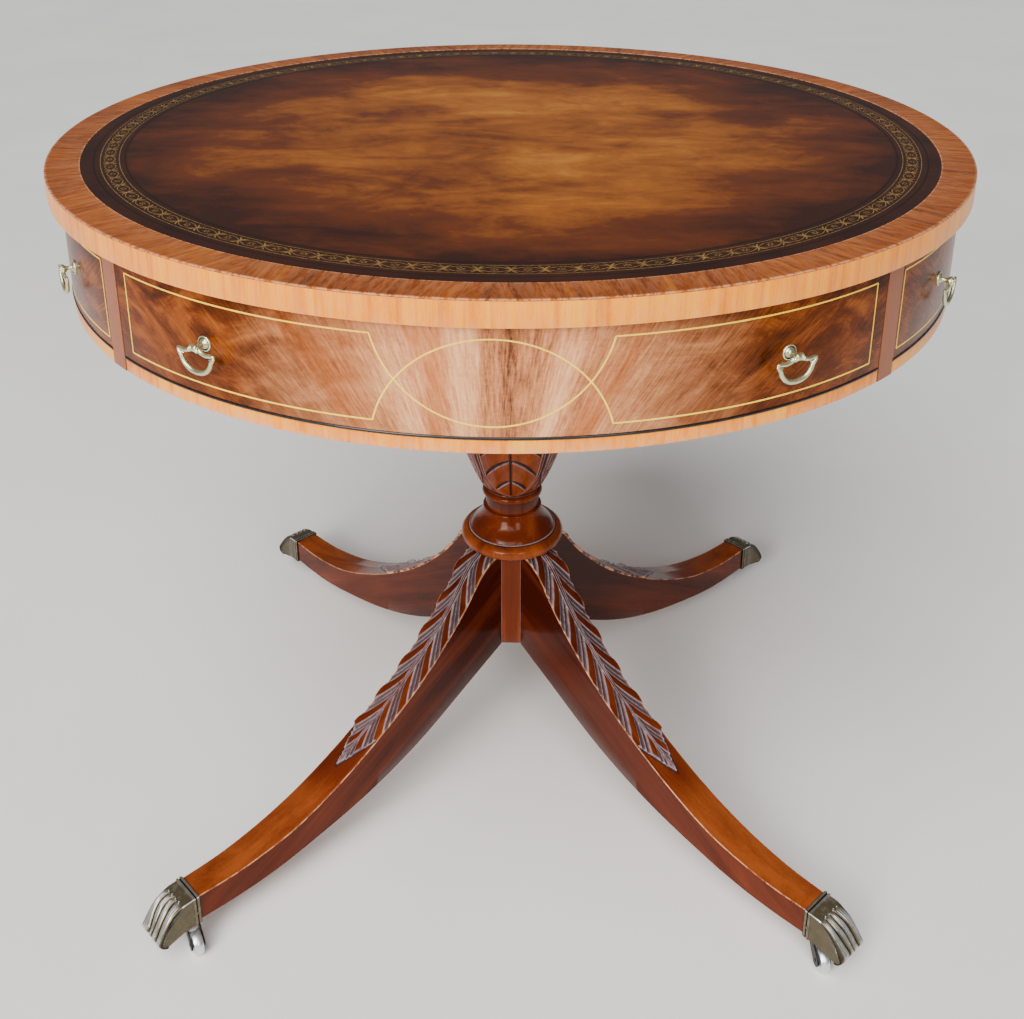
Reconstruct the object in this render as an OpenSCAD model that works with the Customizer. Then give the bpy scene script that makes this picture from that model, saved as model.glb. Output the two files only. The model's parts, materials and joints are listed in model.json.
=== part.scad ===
// Round drum table on a turned pedestal with four sabre legs.
// Millimetres, +Z up. The origin is on the floor under the middle of the top.
// An azimuth is counted from the drawer side (-Y), anticlockwise seen from above.
// Heights, other than the casters' own, leave out caster_rise, which is added when a node is drawn.

/* [Top] */
// Diameter of the top, rim to rim
top_d = 914; // [840:2:960]
// Height of the top, without the rise of the casters
top_h = 762; // [740:1:790]
// Thickness of the top at its edge
top_t = 22.5; // [18:0.5:28]
// Width of the crossbanded rim round the leather
rim_w = 32; // [24:1:44]
// Depth that the leather lies below the rim
leather_drop = 0.4; // [0.2:0.1:1]

/* [Drum] */
// How far the top overhangs the drum
overhang = 11.5; // [9:0.5:18]
// Height of the drum, from its lower edge to the underside of the top
drum_h = 106.8; // [96:0.1:115]
// Thickness of the curved rails and of the drawer front
rail_t = 20.5; // [18:0.5:24]
// Thickness of the veneered facing let into the rails
facing_t = 2; // [1.5:0.1:3]
// Height of the light crossbanding along the lower edge
band_h = 11.3; // [8:0.1:14]
// Height of the black bead above the crossbanding
bead_h = 2.8; // [2:0.1:4]
// Width of the gap each side of the drawer front
joint_gap = 1.8; // [1.2:0.1:2.4]
// Angle that a corner stile takes up beside each joint
stile_angle = 2.9; // [2:0.1:4]

/* [Drawer] */
// Width over the drawer sides
drawer_w = 516; // [460:2:540]
// Length of the drawer box behind the centre of the drum
drawer_back_y = 62; // [20:1:120]

/* [Pulls] */
// Angle of each pull from the middle of its section
pull_angle = 30.4; // [26:0.1:34]
// Height of the bail pins
pull_z = 691.5; // [680:0.5:700]
// Distance from the drum's face to the bail pins
pull_reach = 10.5; // [9:0.5:13]
// Radius of a bail pin
pin_r = 1.3; // [1.2:0.1:1.6]

/* [Pedestal] */
// Distance from the axis to the square faces of the leg block
block_face = 39.5; // [37:0.5:44]
// Bottom of the leg block
block_z0 = 146; // [140:1:152]
// Top of the leg block
block_z1 = 259; // [255:1:262]
// Width of a leg where it meets the block
leg_w = 40; // [36:1:42]
// Width of a leg at its foot
foot_w = 32; // [30:1:34]
// Distance from the axis to the end of a leg
leg_end = 446; // [436:1:450]

/* [Feet] */
// Distance from the axis to a caster's swivel pin
swivel_r = 451; // [449:1:453]
// Radius of a caster wheel
wheel_r = 12.5; // [11:0.5:12.5]
// Width of a caster wheel
wheel_w = 10; // [8:0.5:10]
// Distance from the swivel pin to the wheel's axle
trail = 20; // [18:0.5:20]
// How much the casters raise everything else
caster_rise = 12; // [12:0.5:16]
// Turn of each caster from its leg's direction: front left, front right, rear right, rear left
caster_turn = [76, -34, 64, -112]; // [-180:1:180]

/* [Hidden] */
$fn = 96;
R = top_d / 2;
top_z0 = top_h - top_t;
skin_t = 1.5;
edge_t = 3;
leather_r = R - rim_w;
drum_r = R - overhang;
drum_z0 = top_z0 - drum_h;
core_r = drum_r - facing_t;
inner_r = drum_r - rail_t;
band_z1 = drum_z0 + band_h;
bead_z1 = band_z1 + bead_h;
bead_proud = 0.8;
gap_angle = asin(joint_gap / drum_r) / 2;
half_section = 45 - gap_angle;
floor_t = 12;
floor_z0 = drum_z0 + 7.3;
floor_z1 = floor_z0 + floor_t;
floor_r = inner_r - 0.2;
fine = 240;

// The four sections of the drum, by the azimuth of their middles
RIGHT = 90;
REAR = 180;
LEFT = 270;
FALSE_SIDES = [LEFT, RIGHT, REAR];

side_t = 9;
slide_gap = 1;
drawer_z0 = floor_z1 + slide_gap;
drawer_z1 = top_z0 - 5;
bottom_t = 5;
bottom_lift = 3;
front_z1 = top_z0 - 1;
front_in_r = inner_r + 1.5;
guide_w = 16;
guide_h = 20;

post_eye_r = 3.1;
post_eye_w = 4.6;
bore_play = 0.05;
shank_r = 1.8;
pull_r = drum_r + pull_reach;
FRONT_PULLS = [-pull_angle, pull_angle];
DRUM_PULLS = [for (side = [RIGHT, REAR, LEFT], turn = FRONT_PULLS) side + turn];

// The legs' azimuths: front left, front right, rear right, rear left
LEGS = [-45, 45, 135, 225];
leg_root = block_face * sqrt(2) - leg_w / 2;
column_z0 = 180;
cap_z1 = floor_z0;
cap_t = 28;
cap_z0 = cap_z1 - cap_t;
cap_w = 220;
cap_spigot_r = 25;
spigot_r = 22;

// ---- helpers ----

// A smooth curve through a list of points, with a number of steps between each two
function bend(a, b, c, d, t) =
    0.5 * (2 * b + (c - a) * t + (2 * a - 5 * b + 4 * c - d) * t * t
    + (3 * b - 3 * c + d - a) * t * t * t);
function curve(p, steps) = let (last = len(p) - 1)
    [for (i = [0 : last - 1], s = [0 : steps - 1])
        bend(p[max(i - 1, 0)], p[i], p[i + 1], p[min(i + 2, last)], s / steps),
    p[last]];

// An arc of a circle as points, from one angle to another
function arc_points(centre, r, from, to, steps) =
    [for (i = [0 : steps]) let (a = from + (to - from) * i / steps)
        centre + r * [cos(a), sin(a)]];

// The outline of a stroke of even width along a line of points
function unit(v) = v / norm(v);
function across(p, i) = let (v = unit(p[min(i + 1, len(p) - 1)] - p[max(i - 1, 0)])) [-v.y, v.x];
function stroke(p, w) = concat(
    [for (i = [0 : len(p) - 1]) p[i] + across(p, i) * w / 2],
    [for (i = [len(p) - 1 : -1 : 0]) p[i] - across(p, i) * w / 2]);

// A curved board between two radii, centred on an azimuth and a half angle each side
module curved_board(r0, r1, z0, z1, middle, half) {
    rotate([0, 0, middle - half - 90])
        rotate_extrude(angle = 2 * half, $fn = fine)
            translate([r0, z0]) square([r1 - r0, z1 - z0]);
}

// Puts a part at an azimuth and a radius, facing outwards along its own +Y
module at_azimuth(azimuth, r, z) {
    rotate([0, 0, azimuth]) translate([0, -r, z]) rotate([0, 0, 180]) children();
}

// Puts a part that was drawn along +X on a leg's azimuth
module along_leg(i) {
    rotate([0, 0, LEGS[i] - 90]) children();
}

// A rod along Y
module rod(r, from, to) {
    translate([0, from, 0]) rotate([-90, 0, 0]) cylinder(r = r, h = to - from);
}

// ---- top ----

module top_board() {
    color("saddlebrown") difference() {
        translate([0, 0, top_z0]) cylinder(r = R - edge_t, h = top_t - skin_t, $fn = fine);
        for (a = CORNERS) at_azimuth(a, corner_screw_r, top_z0 - block_h) screw_room(corner_screw);
    }
}

module top_crossband() {
    color("peru") translate([0, 0, top_h - skin_t]) difference() {
        cylinder(r = R, h = skin_t, $fn = fine);
        translate([0, 0, -1]) cylinder(r = leather_r, h = skin_t + 2, $fn = fine);
    }
}

module top_edge_band() {
    color("sandybrown") translate([0, 0, top_z0]) difference() {
        cylinder(r = R, h = top_t - skin_t, $fn = fine);
        translate([0, 0, -1]) cylinder(r = R - edge_t + 0.05, h = top_t, $fn = fine);
    }
}

module leather_top() {
    color([0.36, 0.2, 0.09]) translate([0, 0, top_h - skin_t])
        cylinder(r = leather_r - 0.15, h = skin_t - leather_drop, $fn = fine);
}

screw_r = 2.1;
head_r = 4.2;
head_h = 2.6;
// A wood screw with a countersunk head, its point up
module screw(length) {
    cylinder(r1 = head_r, r2 = screw_r, h = head_h);
    cylinder(r = screw_r, h = length - 5);
    translate([0, 0, length - 5]) cylinder(r1 = screw_r, r2 = 0.4, h = 5);
}

// The room that a screw needs, a little larger all round
module screw_room(length) {
    cylinder(r1 = head_r + 0.1, r2 = screw_r + 0.1, h = head_h);
    translate([0, 0, -1]) cylinder(r = head_r + 0.1, h = 1.01);
    cylinder(r = screw_r + 0.1, h = length + 0.3);
}

block_h = 30;
block_w = 34;
corner_screw = 44;
corner_screw_r = inner_r - 19;
CORNERS = [for (k = [0 : 3]) 45 + 5.2 + (k % 2 == 0 ? 0 : -10.4) + 90 * k];

module top_screws() {
    color("dimgray") for (a = CORNERS)
        at_azimuth(a, corner_screw_r, top_z0 - block_h) screw(corner_screw);
}

// ---- drum ----

module floor_screws(room) {
    for (x = [-1, 1], y = [-1, 1])
        translate([x * cap_w * 0.38, y * cap_w * 0.38, cap_z0])
            if (room) screw_room(cap_t + 9);
            else screw(cap_t + 9);
}

module drum_floor() {
    color("burlywood") difference() {
        translate([0, 0, floor_z0]) cylinder(r = floor_r, h = floor_t, $fn = fine);
        floor_screws(true);
    }
}

module corner_blocks() {
    color("burlywood") for (a = CORNERS) difference() {
        intersection() {
            at_azimuth(a, inner_r - 18, top_z0 - block_h)
                translate([-block_w / 2, -18, 0]) cube([block_w, 36, block_h]);
            translate([0, 0, top_z0 - block_h - 1])
                cylinder(r = inner_r - 0.2, h = block_h + 2, $fn = fine);
        }
        at_azimuth(a, corner_screw_r, top_z0 - block_h) screw_room(corner_screw);
    }
}

// Holes through a curved board for the pull posts' shanks
module shank_holes(azimuths) {
    for (a = azimuths) at_azimuth(a, drum_r, pull_z) rod(shank_r + 0.1, -rail_t - 2, 2);
}

// The half angle that the facing takes up: the rear is a twin of the drawer front
function facing_half(side) = side == REAR ? half_section : half_section - stile_angle;

module rail(side) {
    half = facing_half(side);
    color("saddlebrown") difference() {
        curved_board(inner_r, drum_r, drum_z0, top_z0, side, half_section);
        if (side == REAR)
            curved_board(core_r, drum_r + 1, drum_z0 - 1, top_z0 + 1, side, half + 1);
        else
            curved_board(core_r, drum_r + 1, drum_z0 - 1, top_z0 + 1, side, half);
        shank_holes([side - pull_angle, side + pull_angle]);
    }
}

module false_front(side) {
    color("sienna") difference() {
        curved_board(core_r, drum_r, bead_z1, top_z0, side, facing_half(side));
        shank_holes([side - pull_angle, side + pull_angle]);
    }
}

module drum_beads() {
    color("black") for (side = FALSE_SIDES)
        curved_board(core_r, drum_r + bead_proud, band_z1, bead_z1, side, facing_half(side));
}

module drum_bands() {
    color("orange") for (side = FALSE_SIDES)
        curved_board(core_r, drum_r, drum_z0, band_z1, side, facing_half(side));
}

guide_y0 = -300;
guide_y1 = 90;
// The strip on the floor that the drawer's side runs along: hand is -1 left, 1 right
module drawer_guide(hand) {
    inside = drawer_w / 2 + slide_gap;
    color("tan") translate([hand > 0 ? inside : -inside - guide_w, guide_y0, floor_z1])
        cube([guide_w, guide_y1 - guide_y0, guide_h]);
}

module drawer_stop() {
    color("tan") translate([-40, drawer_back_y + 0.5, floor_z1]) cube([80, 18, 24]);
}

// ---- drawer ----

module drawer_front() {
    color("saddlebrown") difference() {
        curved_board(front_in_r, core_r, drum_z0, front_z1, 0, half_section);
        shank_holes(FRONT_PULLS);
    }
}

module drawer_veneer() {
    color("sienna") difference() {
        curved_board(core_r, drum_r, bead_z1, front_z1, 0, half_section);
        shank_holes(FRONT_PULLS);
    }
}

module drawer_bead() {
    color("black")
        curved_board(core_r, drum_r + bead_proud, band_z1, bead_z1, 0, half_section);
}

module drawer_band() {
    color("orange") curved_board(core_r, drum_r, drum_z0, band_z1, 0, half_section);
}

// What lies inside the curve of the drawer front
module inside_front() {
    translate([0, 0, drawer_z0 - 1])
        cylinder(r = front_in_r - 0.1, h = drawer_z1 - drawer_z0 + 2, $fn = fine);
}

module drawer_side(hand) {
    x = hand > 0 ? drawer_w / 2 - side_t : -drawer_w / 2;
    color("burlywood") intersection() {
        translate([x, -drum_r, drawer_z0])
            cube([side_t, drum_r + drawer_back_y - side_t, drawer_z1 - drawer_z0]);
        inside_front();
    }
}

module drawer_back() {
    color("burlywood") translate([-drawer_w / 2, drawer_back_y - side_t, drawer_z0])
        cube([drawer_w, side_t, drawer_z1 - drawer_z0]);
}

module drawer_bottom() {
    wide = drawer_w - 2 * side_t;
    color("wheat") intersection() {
        translate([-wide / 2, -drum_r, drawer_z0 + bottom_lift])
            cube([wide, drum_r + drawer_back_y - side_t, bottom_t]);
        inside_front();
    }
}

// ---- pulls ----
// Each is drawn about its bail's pin: X along the pin, Y out from the drum.

module pull_post() {
    difference() {
        union() {
            translate([0, -pull_reach, 0]) rotate([-90, 0, 0]) rotate_extrude() polygon(concat(
                [[0, 0], [6, 0], [6.3, 0.9], [5.6, 1.6]],
                arc_points([0, -3.9], 7.0, 52, 90, 8)));
            rod(1.9, -pull_reach + 2, -post_eye_r + 0.6);
            rotate([0, 0, 90]) rod(post_eye_r, -post_eye_w / 2, post_eye_w / 2);
        }
        rotate([0, 0, 90]) rod(pin_r + bore_play, -post_eye_w, post_eye_w);
    }
    rod(shank_r, -pull_reach - rail_t - 6, -pull_reach);
}

module pull_nut() {
    difference() {
        translate([0, -pull_reach - rail_t - 3.2, 0])
            rotate([-90, 0, 0]) cylinder(r = 4, h = 3, $fn = 6);
        rod(shank_r, -pull_reach - rail_t - 4, -pull_reach - rail_t + 1);
    }
}

module drawer_pull_posts() {
    color("darkkhaki") for (a = FRONT_PULLS) at_azimuth(a, pull_r, pull_z) pull_post();
}

module drum_pull_posts() {
    color("darkkhaki") for (a = DRUM_PULLS) at_azimuth(a, pull_r, pull_z) pull_post();
}

module drawer_pull_nuts() {
    color("darkgoldenrod") for (a = FRONT_PULLS) at_azimuth(a, pull_r, pull_z) {
        translate([0, 1.5, 0]) pull_nut();
    }
}

module drum_pull_nuts() {
    color("darkgoldenrod") for (a = DRUM_PULLS) at_azimuth(a, pull_r, pull_z) pull_nut();
}

bail_t = 2.8;
bail_eye_x = 2.7;
bail_eye_w = 2.4;
BAIL_ARM = [[3.9, -0.6], [8, -2.6], [13, -3.6], [18.6, -4.4]];
BAIL_BOW = [[19, -4.8], [16, -8.2], [14.4, -12.5], [10.6, -17.4], [5.5, -19.9], [0, -20.6]];

// A shield-shaped bail hanging from its pin
module bail(azimuth) {
    color("darkkhaki") at_azimuth(azimuth, pull_r, pull_z) {
        rotate([0, 0, 90]) rod(pin_r, -bail_eye_x - bail_eye_w, bail_eye_x + bail_eye_w);
        for (hand = [0, 1]) mirror([hand, 0, 0]) {
            translate([bail_eye_x, 0, 0]) rotate([0, 90, 0]) cylinder(r = 2.6, h = bail_eye_w);
            translate([0, bail_t / 2, 0]) rotate([90, 0, 0]) linear_extrude(bail_t) {
                polygon(stroke(curve(BAIL_ARM, 3), 2.4));
                polygon(stroke(curve(concat(BAIL_BOW, [[-5.5, -19.9]]), 4), 2.8));
            }
        }
    }
}

// ---- pedestal ----

module cap_block() {
    color("saddlebrown") difference() {
        translate([-cap_w / 2, -cap_w / 2, cap_z0]) cube([cap_w, cap_w, cap_t]);
        translate([0, 0, cap_z0 - 1]) cylinder(r = cap_spigot_r + 0.1, h = cap_t - 3);
        floor_screws(true);
    }
}

module cap_screws() {
    color("dimgray") floor_screws(false);
}

// The turned profile, as radius and height, from the foot of the column to its head
LOWER_BEAD = arc_points([50.5, 280.5], 8, -80, 84, 16);
BELL = curve([[50.6, 289.6], [48.4, 295.5], [43, 303], [37.6, 309.6], [35.2, 314]], 4);
NECK_BEAD = arc_points([33, 335.7], 4.3, -84, 84, 12);
VASE = curve([[35.4, 342.6], [38.6, 348], [44.4, 360], [49.6, 373], [55.4, 390],
    [59, 412], [55.5, 434], [43, 451], [33, 460]], 4);
SHAFT_BEAD = arc_points([32.5, 466], 4.6, -84, 84, 10);
SHAFT = curve([[30, 472], [29, 490], [31.5, 530], [35, 574], [37.5, 588]], 4);
HEAD_BEAD = arc_points([38, 594], 5, -84, 84, 10);

module column() {
    color("saddlebrown") rotate_extrude() polygon(concat(
        [[0, column_z0], [spigot_r, column_z0], [spigot_r, block_z1], [47, block_z1]],
        [[47, 272.2]], LOWER_BEAD, [[51.4, 288.6], [51.2, 289.6]], BELL,
        [[36.3, 314.6], [36.3, 316.8], [33, 317.2]], NECK_BEAD,
        [[34.2, 340.4], [34.2, 342]], VASE, [[32, 461.2]], SHAFT_BEAD,
        [[31, 471]], SHAFT, [[38, 588.8]], HEAD_BEAD,
        [[46, 600], [46, cap_z0], [cap_spigot_r, cap_z0]],
        [[cap_spigot_r, cap_z1 - 5], [0, cap_z1 - 5]]));
}

tongue_z0 = 156;
tongue_z1 = 246;
// The dovetail tongue that ties a leg to the block, drawn along +X
module tongue(play) {
    translate([0, 0, tongue_z0 - play]) linear_extrude(tongue_z1 - tongue_z0 + 2 * play)
        polygon([[leg_root + 0.01, -6 - play], [leg_root + 0.01, 6 + play],
            [leg_root - 10 - play, 8.5 + play], [leg_root - 10 - play, -8.5 - play]]);
}

module leg_block() {
    color("saddlebrown") difference() {
        translate([0, 0, block_z0]) linear_extrude(block_z1 - block_z0) intersection() {
            square(2 * block_face, center = true);
            rotate(45) square(2 * leg_root, center = true);
        }
        translate([0, 0, column_z0 - 3])
            cylinder(r = spigot_r + 0.1, h = block_z1 - column_z0 + 4);
        for (i = [0 : 3]) along_leg(i) tongue(0.1);
    }
}

tenon_len = 10;
tenon_w = 22;
tenon_z = [30, 48];
// The sabre leg seen from the side, as distance from the axis and height
LEG_TOP = [[leg_root, block_z1 - 0.2], [62, 249], [100, 210], [160, 155], [240, 104], [320, 68.5],
    [390, 54], [leg_end, 52.5]];
LEG_UNDER = [[leg_end, 22], [400, 22.4], [350, 27.5], [250, 46.5], [165, 76], [80, 121],
    [leg_root, 145]];

module leg(i) {
    color("saddlebrown") along_leg(i) {
        intersection() {
            translate([0, leg_w / 2, 0]) rotate([90, 0, 0]) linear_extrude(leg_w)
                polygon(concat(curve(LEG_TOP, 5), curve(LEG_UNDER, 5)));
            linear_extrude(300) polygon([
                [0, -leg_w / 2], [330, -leg_w / 2], [leg_end + 1, -foot_w / 2],
                [leg_end + 1, foot_w / 2], [330, leg_w / 2], [0, leg_w / 2]]);
        }
        tongue(0);
        translate([leg_end - 0.01, -tenon_w / 2, tenon_z[0]])
            cube([tenon_len, tenon_w, tenon_z[1] - tenon_z[0]]);
    }
}

// ---- feet ----

paw_w = 35;
paw_z0 = 14;
socket_z0 = 20;
swivel_pin_r = 2.5;
swivel_pin_z1 = 27;
// Room under a paw for the top of its turning horn
horn_room_r = 16;
toe_spread = [-14.4, -4.9, 4.9, 14.4];
PAW_SIDE = [[leg_end, socket_z0], [leg_end, 54.6], [leg_end + 7, 54.6], [leg_end + 7, 53.6],
    [464, 52.6], [473, 49.5], [481, 43], [487, 34], [489, 25], [487, paw_z0], [479, paw_z0],
    [470, 16.5], [462, 19]];

// One toe: a spindle that leans out and down from its knuckle to its tip
module toe(y) {
    translate([463, y * 0.8, 49]) rotate([0, 142, y * 0.35])
        rotate_extrude($fn = 32) polygon(concat([[0, 0]],
            curve([[3.4, 1], [5.2, 7], [5.8, 16], [7.2, 28], [6.6, 35], [2, 40]], 3), [[0, 40]]));
}

// A brass lion's paw that caps the end of a leg and carries its caster
module paw(i) {
    color([0.35, 0.33, 0.22]) along_leg(i) difference() {
        union() {
            translate([0, paw_w / 2, 0]) rotate([90, 0, 0]) linear_extrude(paw_w)
                polygon(PAW_SIDE);
            for (y = toe_spread) toe(y);
        }
        translate([leg_end - 1, -tenon_w / 2 - 0.1, tenon_z[0] - 0.1])
            cube([tenon_len + 1.2, tenon_w + 0.2, tenon_z[1] - tenon_z[0] + 0.2]);
        translate([swivel_r, 0, 0]) cylinder(r = horn_room_r, h = socket_z0);
        translate([swivel_r, 0, 0]) cylinder(r = swivel_pin_r + bore_play, h = swivel_pin_z1 + 0.3);
        translate([400, -50, paw_z0 - 20]) cube([150, 100, 20]);
        paw_pin_rod(pin_room = 0.02);
    }
}

paw_pin_r = 1.4;
module paw_pin_rod(pin_room) {
    translate([leg_end + 5, 0, 34]) rod(paw_pin_r + pin_room, -paw_w / 2 - 0.6, paw_w / 2 + 0.6);
}

// The cross pins that hold the paws on the legs' tenons
module paw_pins() {
    color("darkgoldenrod") for (i = [0 : 3]) along_leg(i) difference() {
        paw_pin_rod(0);
        translate([leg_end - 1, -tenon_w / 2 - 0.1, tenon_z[0] - 1])
            cube([tenon_len + 1.2, tenon_w + 0.2, tenon_z[1] - tenon_z[0] + 2]);
    }
}

// Puts a caster on its swivel pin, trailing along +X
module at_caster(i) {
    along_leg(i) translate([swivel_r, 0, 0]) rotate([0, 0, caster_turn[i]]) children();
}

axle_r = 1.5;
cheek_t = 1.7;
horn_z = [caster_rise + 16.3, caster_rise + 18.6];
// A caster's horn: swivel pin, plate and two cheeks, with the wheel's axle riveted in
module horn(i) {
    cheek_y = wheel_w / 2 + 0.4;
    color([0.2, 0.2, 0.18]) at_caster(i) {
        translate([0, 0, horn_z[0]])
            cylinder(r = swivel_pin_r, h = caster_rise + swivel_pin_z1 - horn_z[0]);
        translate([0, 0, horn_z[0]]) cylinder(r = cheek_y + cheek_t, h = horn_z[1] - horn_z[0]);
        for (hand = [0, 1]) mirror([0, hand, 0]) difference() {
            translate([0, cheek_y + cheek_t, 0]) rotate([90, 0, 0]) linear_extrude(cheek_t) {
                polygon([[-5, horn_z[0]], [-4, horn_z[1]], [8, horn_z[1] - 1],
                    [trail + 4, wheel_r + 5.2], [trail - 4.4, wheel_r - 4.7]]);
                translate([trail, wheel_r]) circle(r = 6.5);
            }
            translate([trail, 0, wheel_r]) rod(axle_r, 0, 20);
        }
        translate([trail, 0, wheel_r])
            rod(axle_r, -cheek_y - cheek_t - 0.6, cheek_y + cheek_t + 0.6);
    }
}

module wheel(i) {
    color("whitesmoke") at_caster(i) translate([trail, 0, wheel_r]) rotate([90, 0, 0])
        rotate_extrude() polygon([
            [axle_r + bore_play, -wheel_w / 2], [wheel_r - 1, -wheel_w / 2],
            [wheel_r, -wheel_w / 2 + 1], [wheel_r, wheel_w / 2 - 1],
            [wheel_r - 1, wheel_w / 2], [axle_r + bore_play, wheel_w / 2]]);
}

// Stands everything above the casters at its height over the floor
module raised() {
    translate([0, 0, caster_rise]) children();
}

raised() top_board();
raised() top_crossband();
raised() top_edge_band();
raised() leather_top();
raised() top_screws();
raised() drum_floor();
raised() corner_blocks();
raised() rail(LEFT);  // rail_left
raised() rail(RIGHT);  // rail_right
raised() rail(REAR);  // rail_rear
raised() false_front(LEFT);  // false_front_left
raised() false_front(RIGHT);  // false_front_right
raised() false_front(REAR);  // false_front_rear
raised() drum_beads();
raised() drum_bands();
raised() drawer_guide(-1);  // drawer_guide_left
raised() drawer_guide(1);  // drawer_guide_right
raised() drawer_stop();
raised() drawer_front();
raised() drawer_veneer();
raised() drawer_bead();
raised() drawer_band();
raised() drawer_side(-1);  // drawer_side_left
raised() drawer_side(1);  // drawer_side_right
raised() drawer_back();
raised() drawer_bottom();
raised() drawer_pull_posts();
raised() drawer_pull_nuts();
raised() drum_pull_posts();
raised() drum_pull_nuts();
raised() bail(-pull_angle);  // bail_front_left
raised() bail(pull_angle);  // bail_front_right
raised() bail(RIGHT - pull_angle);  // bail_right_front
raised() bail(RIGHT + pull_angle);  // bail_right_rear
raised() bail(REAR - pull_angle);  // bail_rear_right
raised() bail(REAR + pull_angle);  // bail_rear_left
raised() bail(LEFT - pull_angle);  // bail_left_rear
raised() bail(LEFT + pull_angle);  // bail_left_front
raised() cap_block();
raised() cap_screws();
raised() column();
raised() leg_block();
raised() leg(0);  // leg_front_left
raised() leg(1);  // leg_front_right
raised() leg(2);  // leg_rear_right
raised() leg(3);  // leg_rear_left
raised() paw(0);  // paw_front_left
raised() paw(1);  // paw_front_right
raised() paw(2);  // paw_rear_right
raised() paw(3);  // paw_rear_left
raised() paw_pins();
horn(0);  // horn_front_left
horn(1);  // horn_front_right
horn(2);  // horn_rear_right
horn(3);  // horn_rear_left
wheel(0);  // wheel_front_left
wheel(1);  // wheel_front_right
wheel(2);  // wheel_rear_right
wheel(3);  // wheel_rear_left
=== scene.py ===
"""A round drum table on a turned pedestal: its veneers, tooled leather, carving, brass and casters.

Shapes are made in millimetres in the frame's own axes, with heights that leave out the casters' rise;
in_frame() adds the rise and turns them into metres when a piece is made.
An azimuth is counted from the drawer side (-Y), anticlockwise seen from above.
"""
import json
import math

import bmesh
import bpy
import numpy as np
from mathutils import Matrix, Vector


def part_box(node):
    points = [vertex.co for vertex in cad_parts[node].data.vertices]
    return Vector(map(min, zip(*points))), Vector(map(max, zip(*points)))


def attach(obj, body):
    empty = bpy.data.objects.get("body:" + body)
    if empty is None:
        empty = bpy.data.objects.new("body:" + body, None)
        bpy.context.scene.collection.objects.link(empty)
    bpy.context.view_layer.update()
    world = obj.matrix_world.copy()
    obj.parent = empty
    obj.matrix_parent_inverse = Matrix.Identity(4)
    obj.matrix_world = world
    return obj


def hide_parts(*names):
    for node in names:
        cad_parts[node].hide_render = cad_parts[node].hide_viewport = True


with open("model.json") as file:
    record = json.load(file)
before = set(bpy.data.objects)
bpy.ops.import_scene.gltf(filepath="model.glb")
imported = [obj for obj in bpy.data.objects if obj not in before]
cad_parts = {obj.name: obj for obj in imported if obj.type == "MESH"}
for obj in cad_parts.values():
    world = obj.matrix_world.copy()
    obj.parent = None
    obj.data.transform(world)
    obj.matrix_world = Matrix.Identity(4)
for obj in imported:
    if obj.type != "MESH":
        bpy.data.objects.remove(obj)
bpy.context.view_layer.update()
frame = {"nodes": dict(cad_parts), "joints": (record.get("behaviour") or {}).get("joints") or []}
scene = bpy.context.scene
nodes = frame["nodes"]
rng = np.random.default_rng(7)
TAU = 2 * math.pi
# How much higher the real thing stands, on its casters, than the heights below say
CASTER_RISE = 12.0


def span(node):
    """A CAD node's lowest and highest corners, in millimetres and without the casters' rise."""
    rise = Vector((0, 0, CASTER_RISE))
    return tuple(Vector(corner) * 1000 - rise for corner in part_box(node))


def in_frame(points):
    """Drawn points as a list of points of the frame, in metres."""
    return ((np.concatenate(points) + (0, 0, CASTER_RISE)) / 1000).tolist()


(_, _, veneer_z), (top_r, _, top_z) = span("top_crossband")
top_z0 = span("top_edge_band")[0].z
leather_z = span("leather_top")[1].z
# The crossbanding's inner edge, which stands this clear of the leather
leather_r = span("leather_top")[1].x + 0.15
(_, _, drum_z0), (drum_r, _, band_z1) = span("drum_bands")
bead_z1 = span("drum_beads")[1].z
front_z1 = span("drawer_veneer")[1].z
FACING_T = 2.0

# ---- camera, floor and light ----

# Where the camera stands, in metres, and how it looks: heading from +Y toward +X, tilt down, roll
CAMERA_AT = Vector((0.0425, -1.262, 1.1091))
HEADING, TILT, ROLL = (math.radians(d) for d in (-1.18, 21.71, 0.34))
SENSOR_W = 36.0
LENS = 44.04
SHIFT = (-0.0153, -0.2236)


def add_camera():
    """The camera, built from its own right, up and back directions."""
    ahead = Vector((math.sin(HEADING) * math.cos(TILT), math.cos(HEADING) * math.cos(TILT),
                    -math.sin(TILT)))
    level = Vector((math.cos(HEADING), -math.sin(HEADING), 0))
    above = level.cross(ahead)
    right = level * math.cos(ROLL) + above * math.sin(ROLL)
    up = above * math.cos(ROLL) - level * math.sin(ROLL)
    data = bpy.data.cameras.new("camera")
    data.sensor_fit, data.sensor_width, data.lens = "HORIZONTAL", SENSOR_W, LENS
    data.shift_x, data.shift_y = SHIFT
    camera = bpy.data.objects.new("camera", data)
    axes = Matrix((right, up, -ahead)).transposed().to_4x4()
    camera.matrix_world = Matrix.Translation(CAMERA_AT) @ axes
    scene.collection.objects.link(camera)
    scene.camera = camera


def add_light(name, at, aim, size, power, colour=(1, 1, 1)):
    """A soft rectangular light at a place, aimed at a point."""
    data = bpy.data.lights.new(name, "AREA")
    data.shape, data.size, data.size_y = "RECTANGLE", *size
    data.energy, data.color = power, colour
    lamp = bpy.data.objects.new(name, data)
    lamp.location = at
    lamp.rotation_euler = (Vector(aim) - Vector(at)).to_track_quat("-Z", "Y").to_euler()
    scene.collection.objects.link(lamp)


# ---- materials ----

def rgb(*parts):
    """A display colour, 0 to 255 a part, as the linear colour that a shader takes."""
    return tuple(((p / 255 + 0.055) / 1.055) ** 2.4 if p > 10 else p / 3295 for p in parts) + (1.0,)


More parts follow.
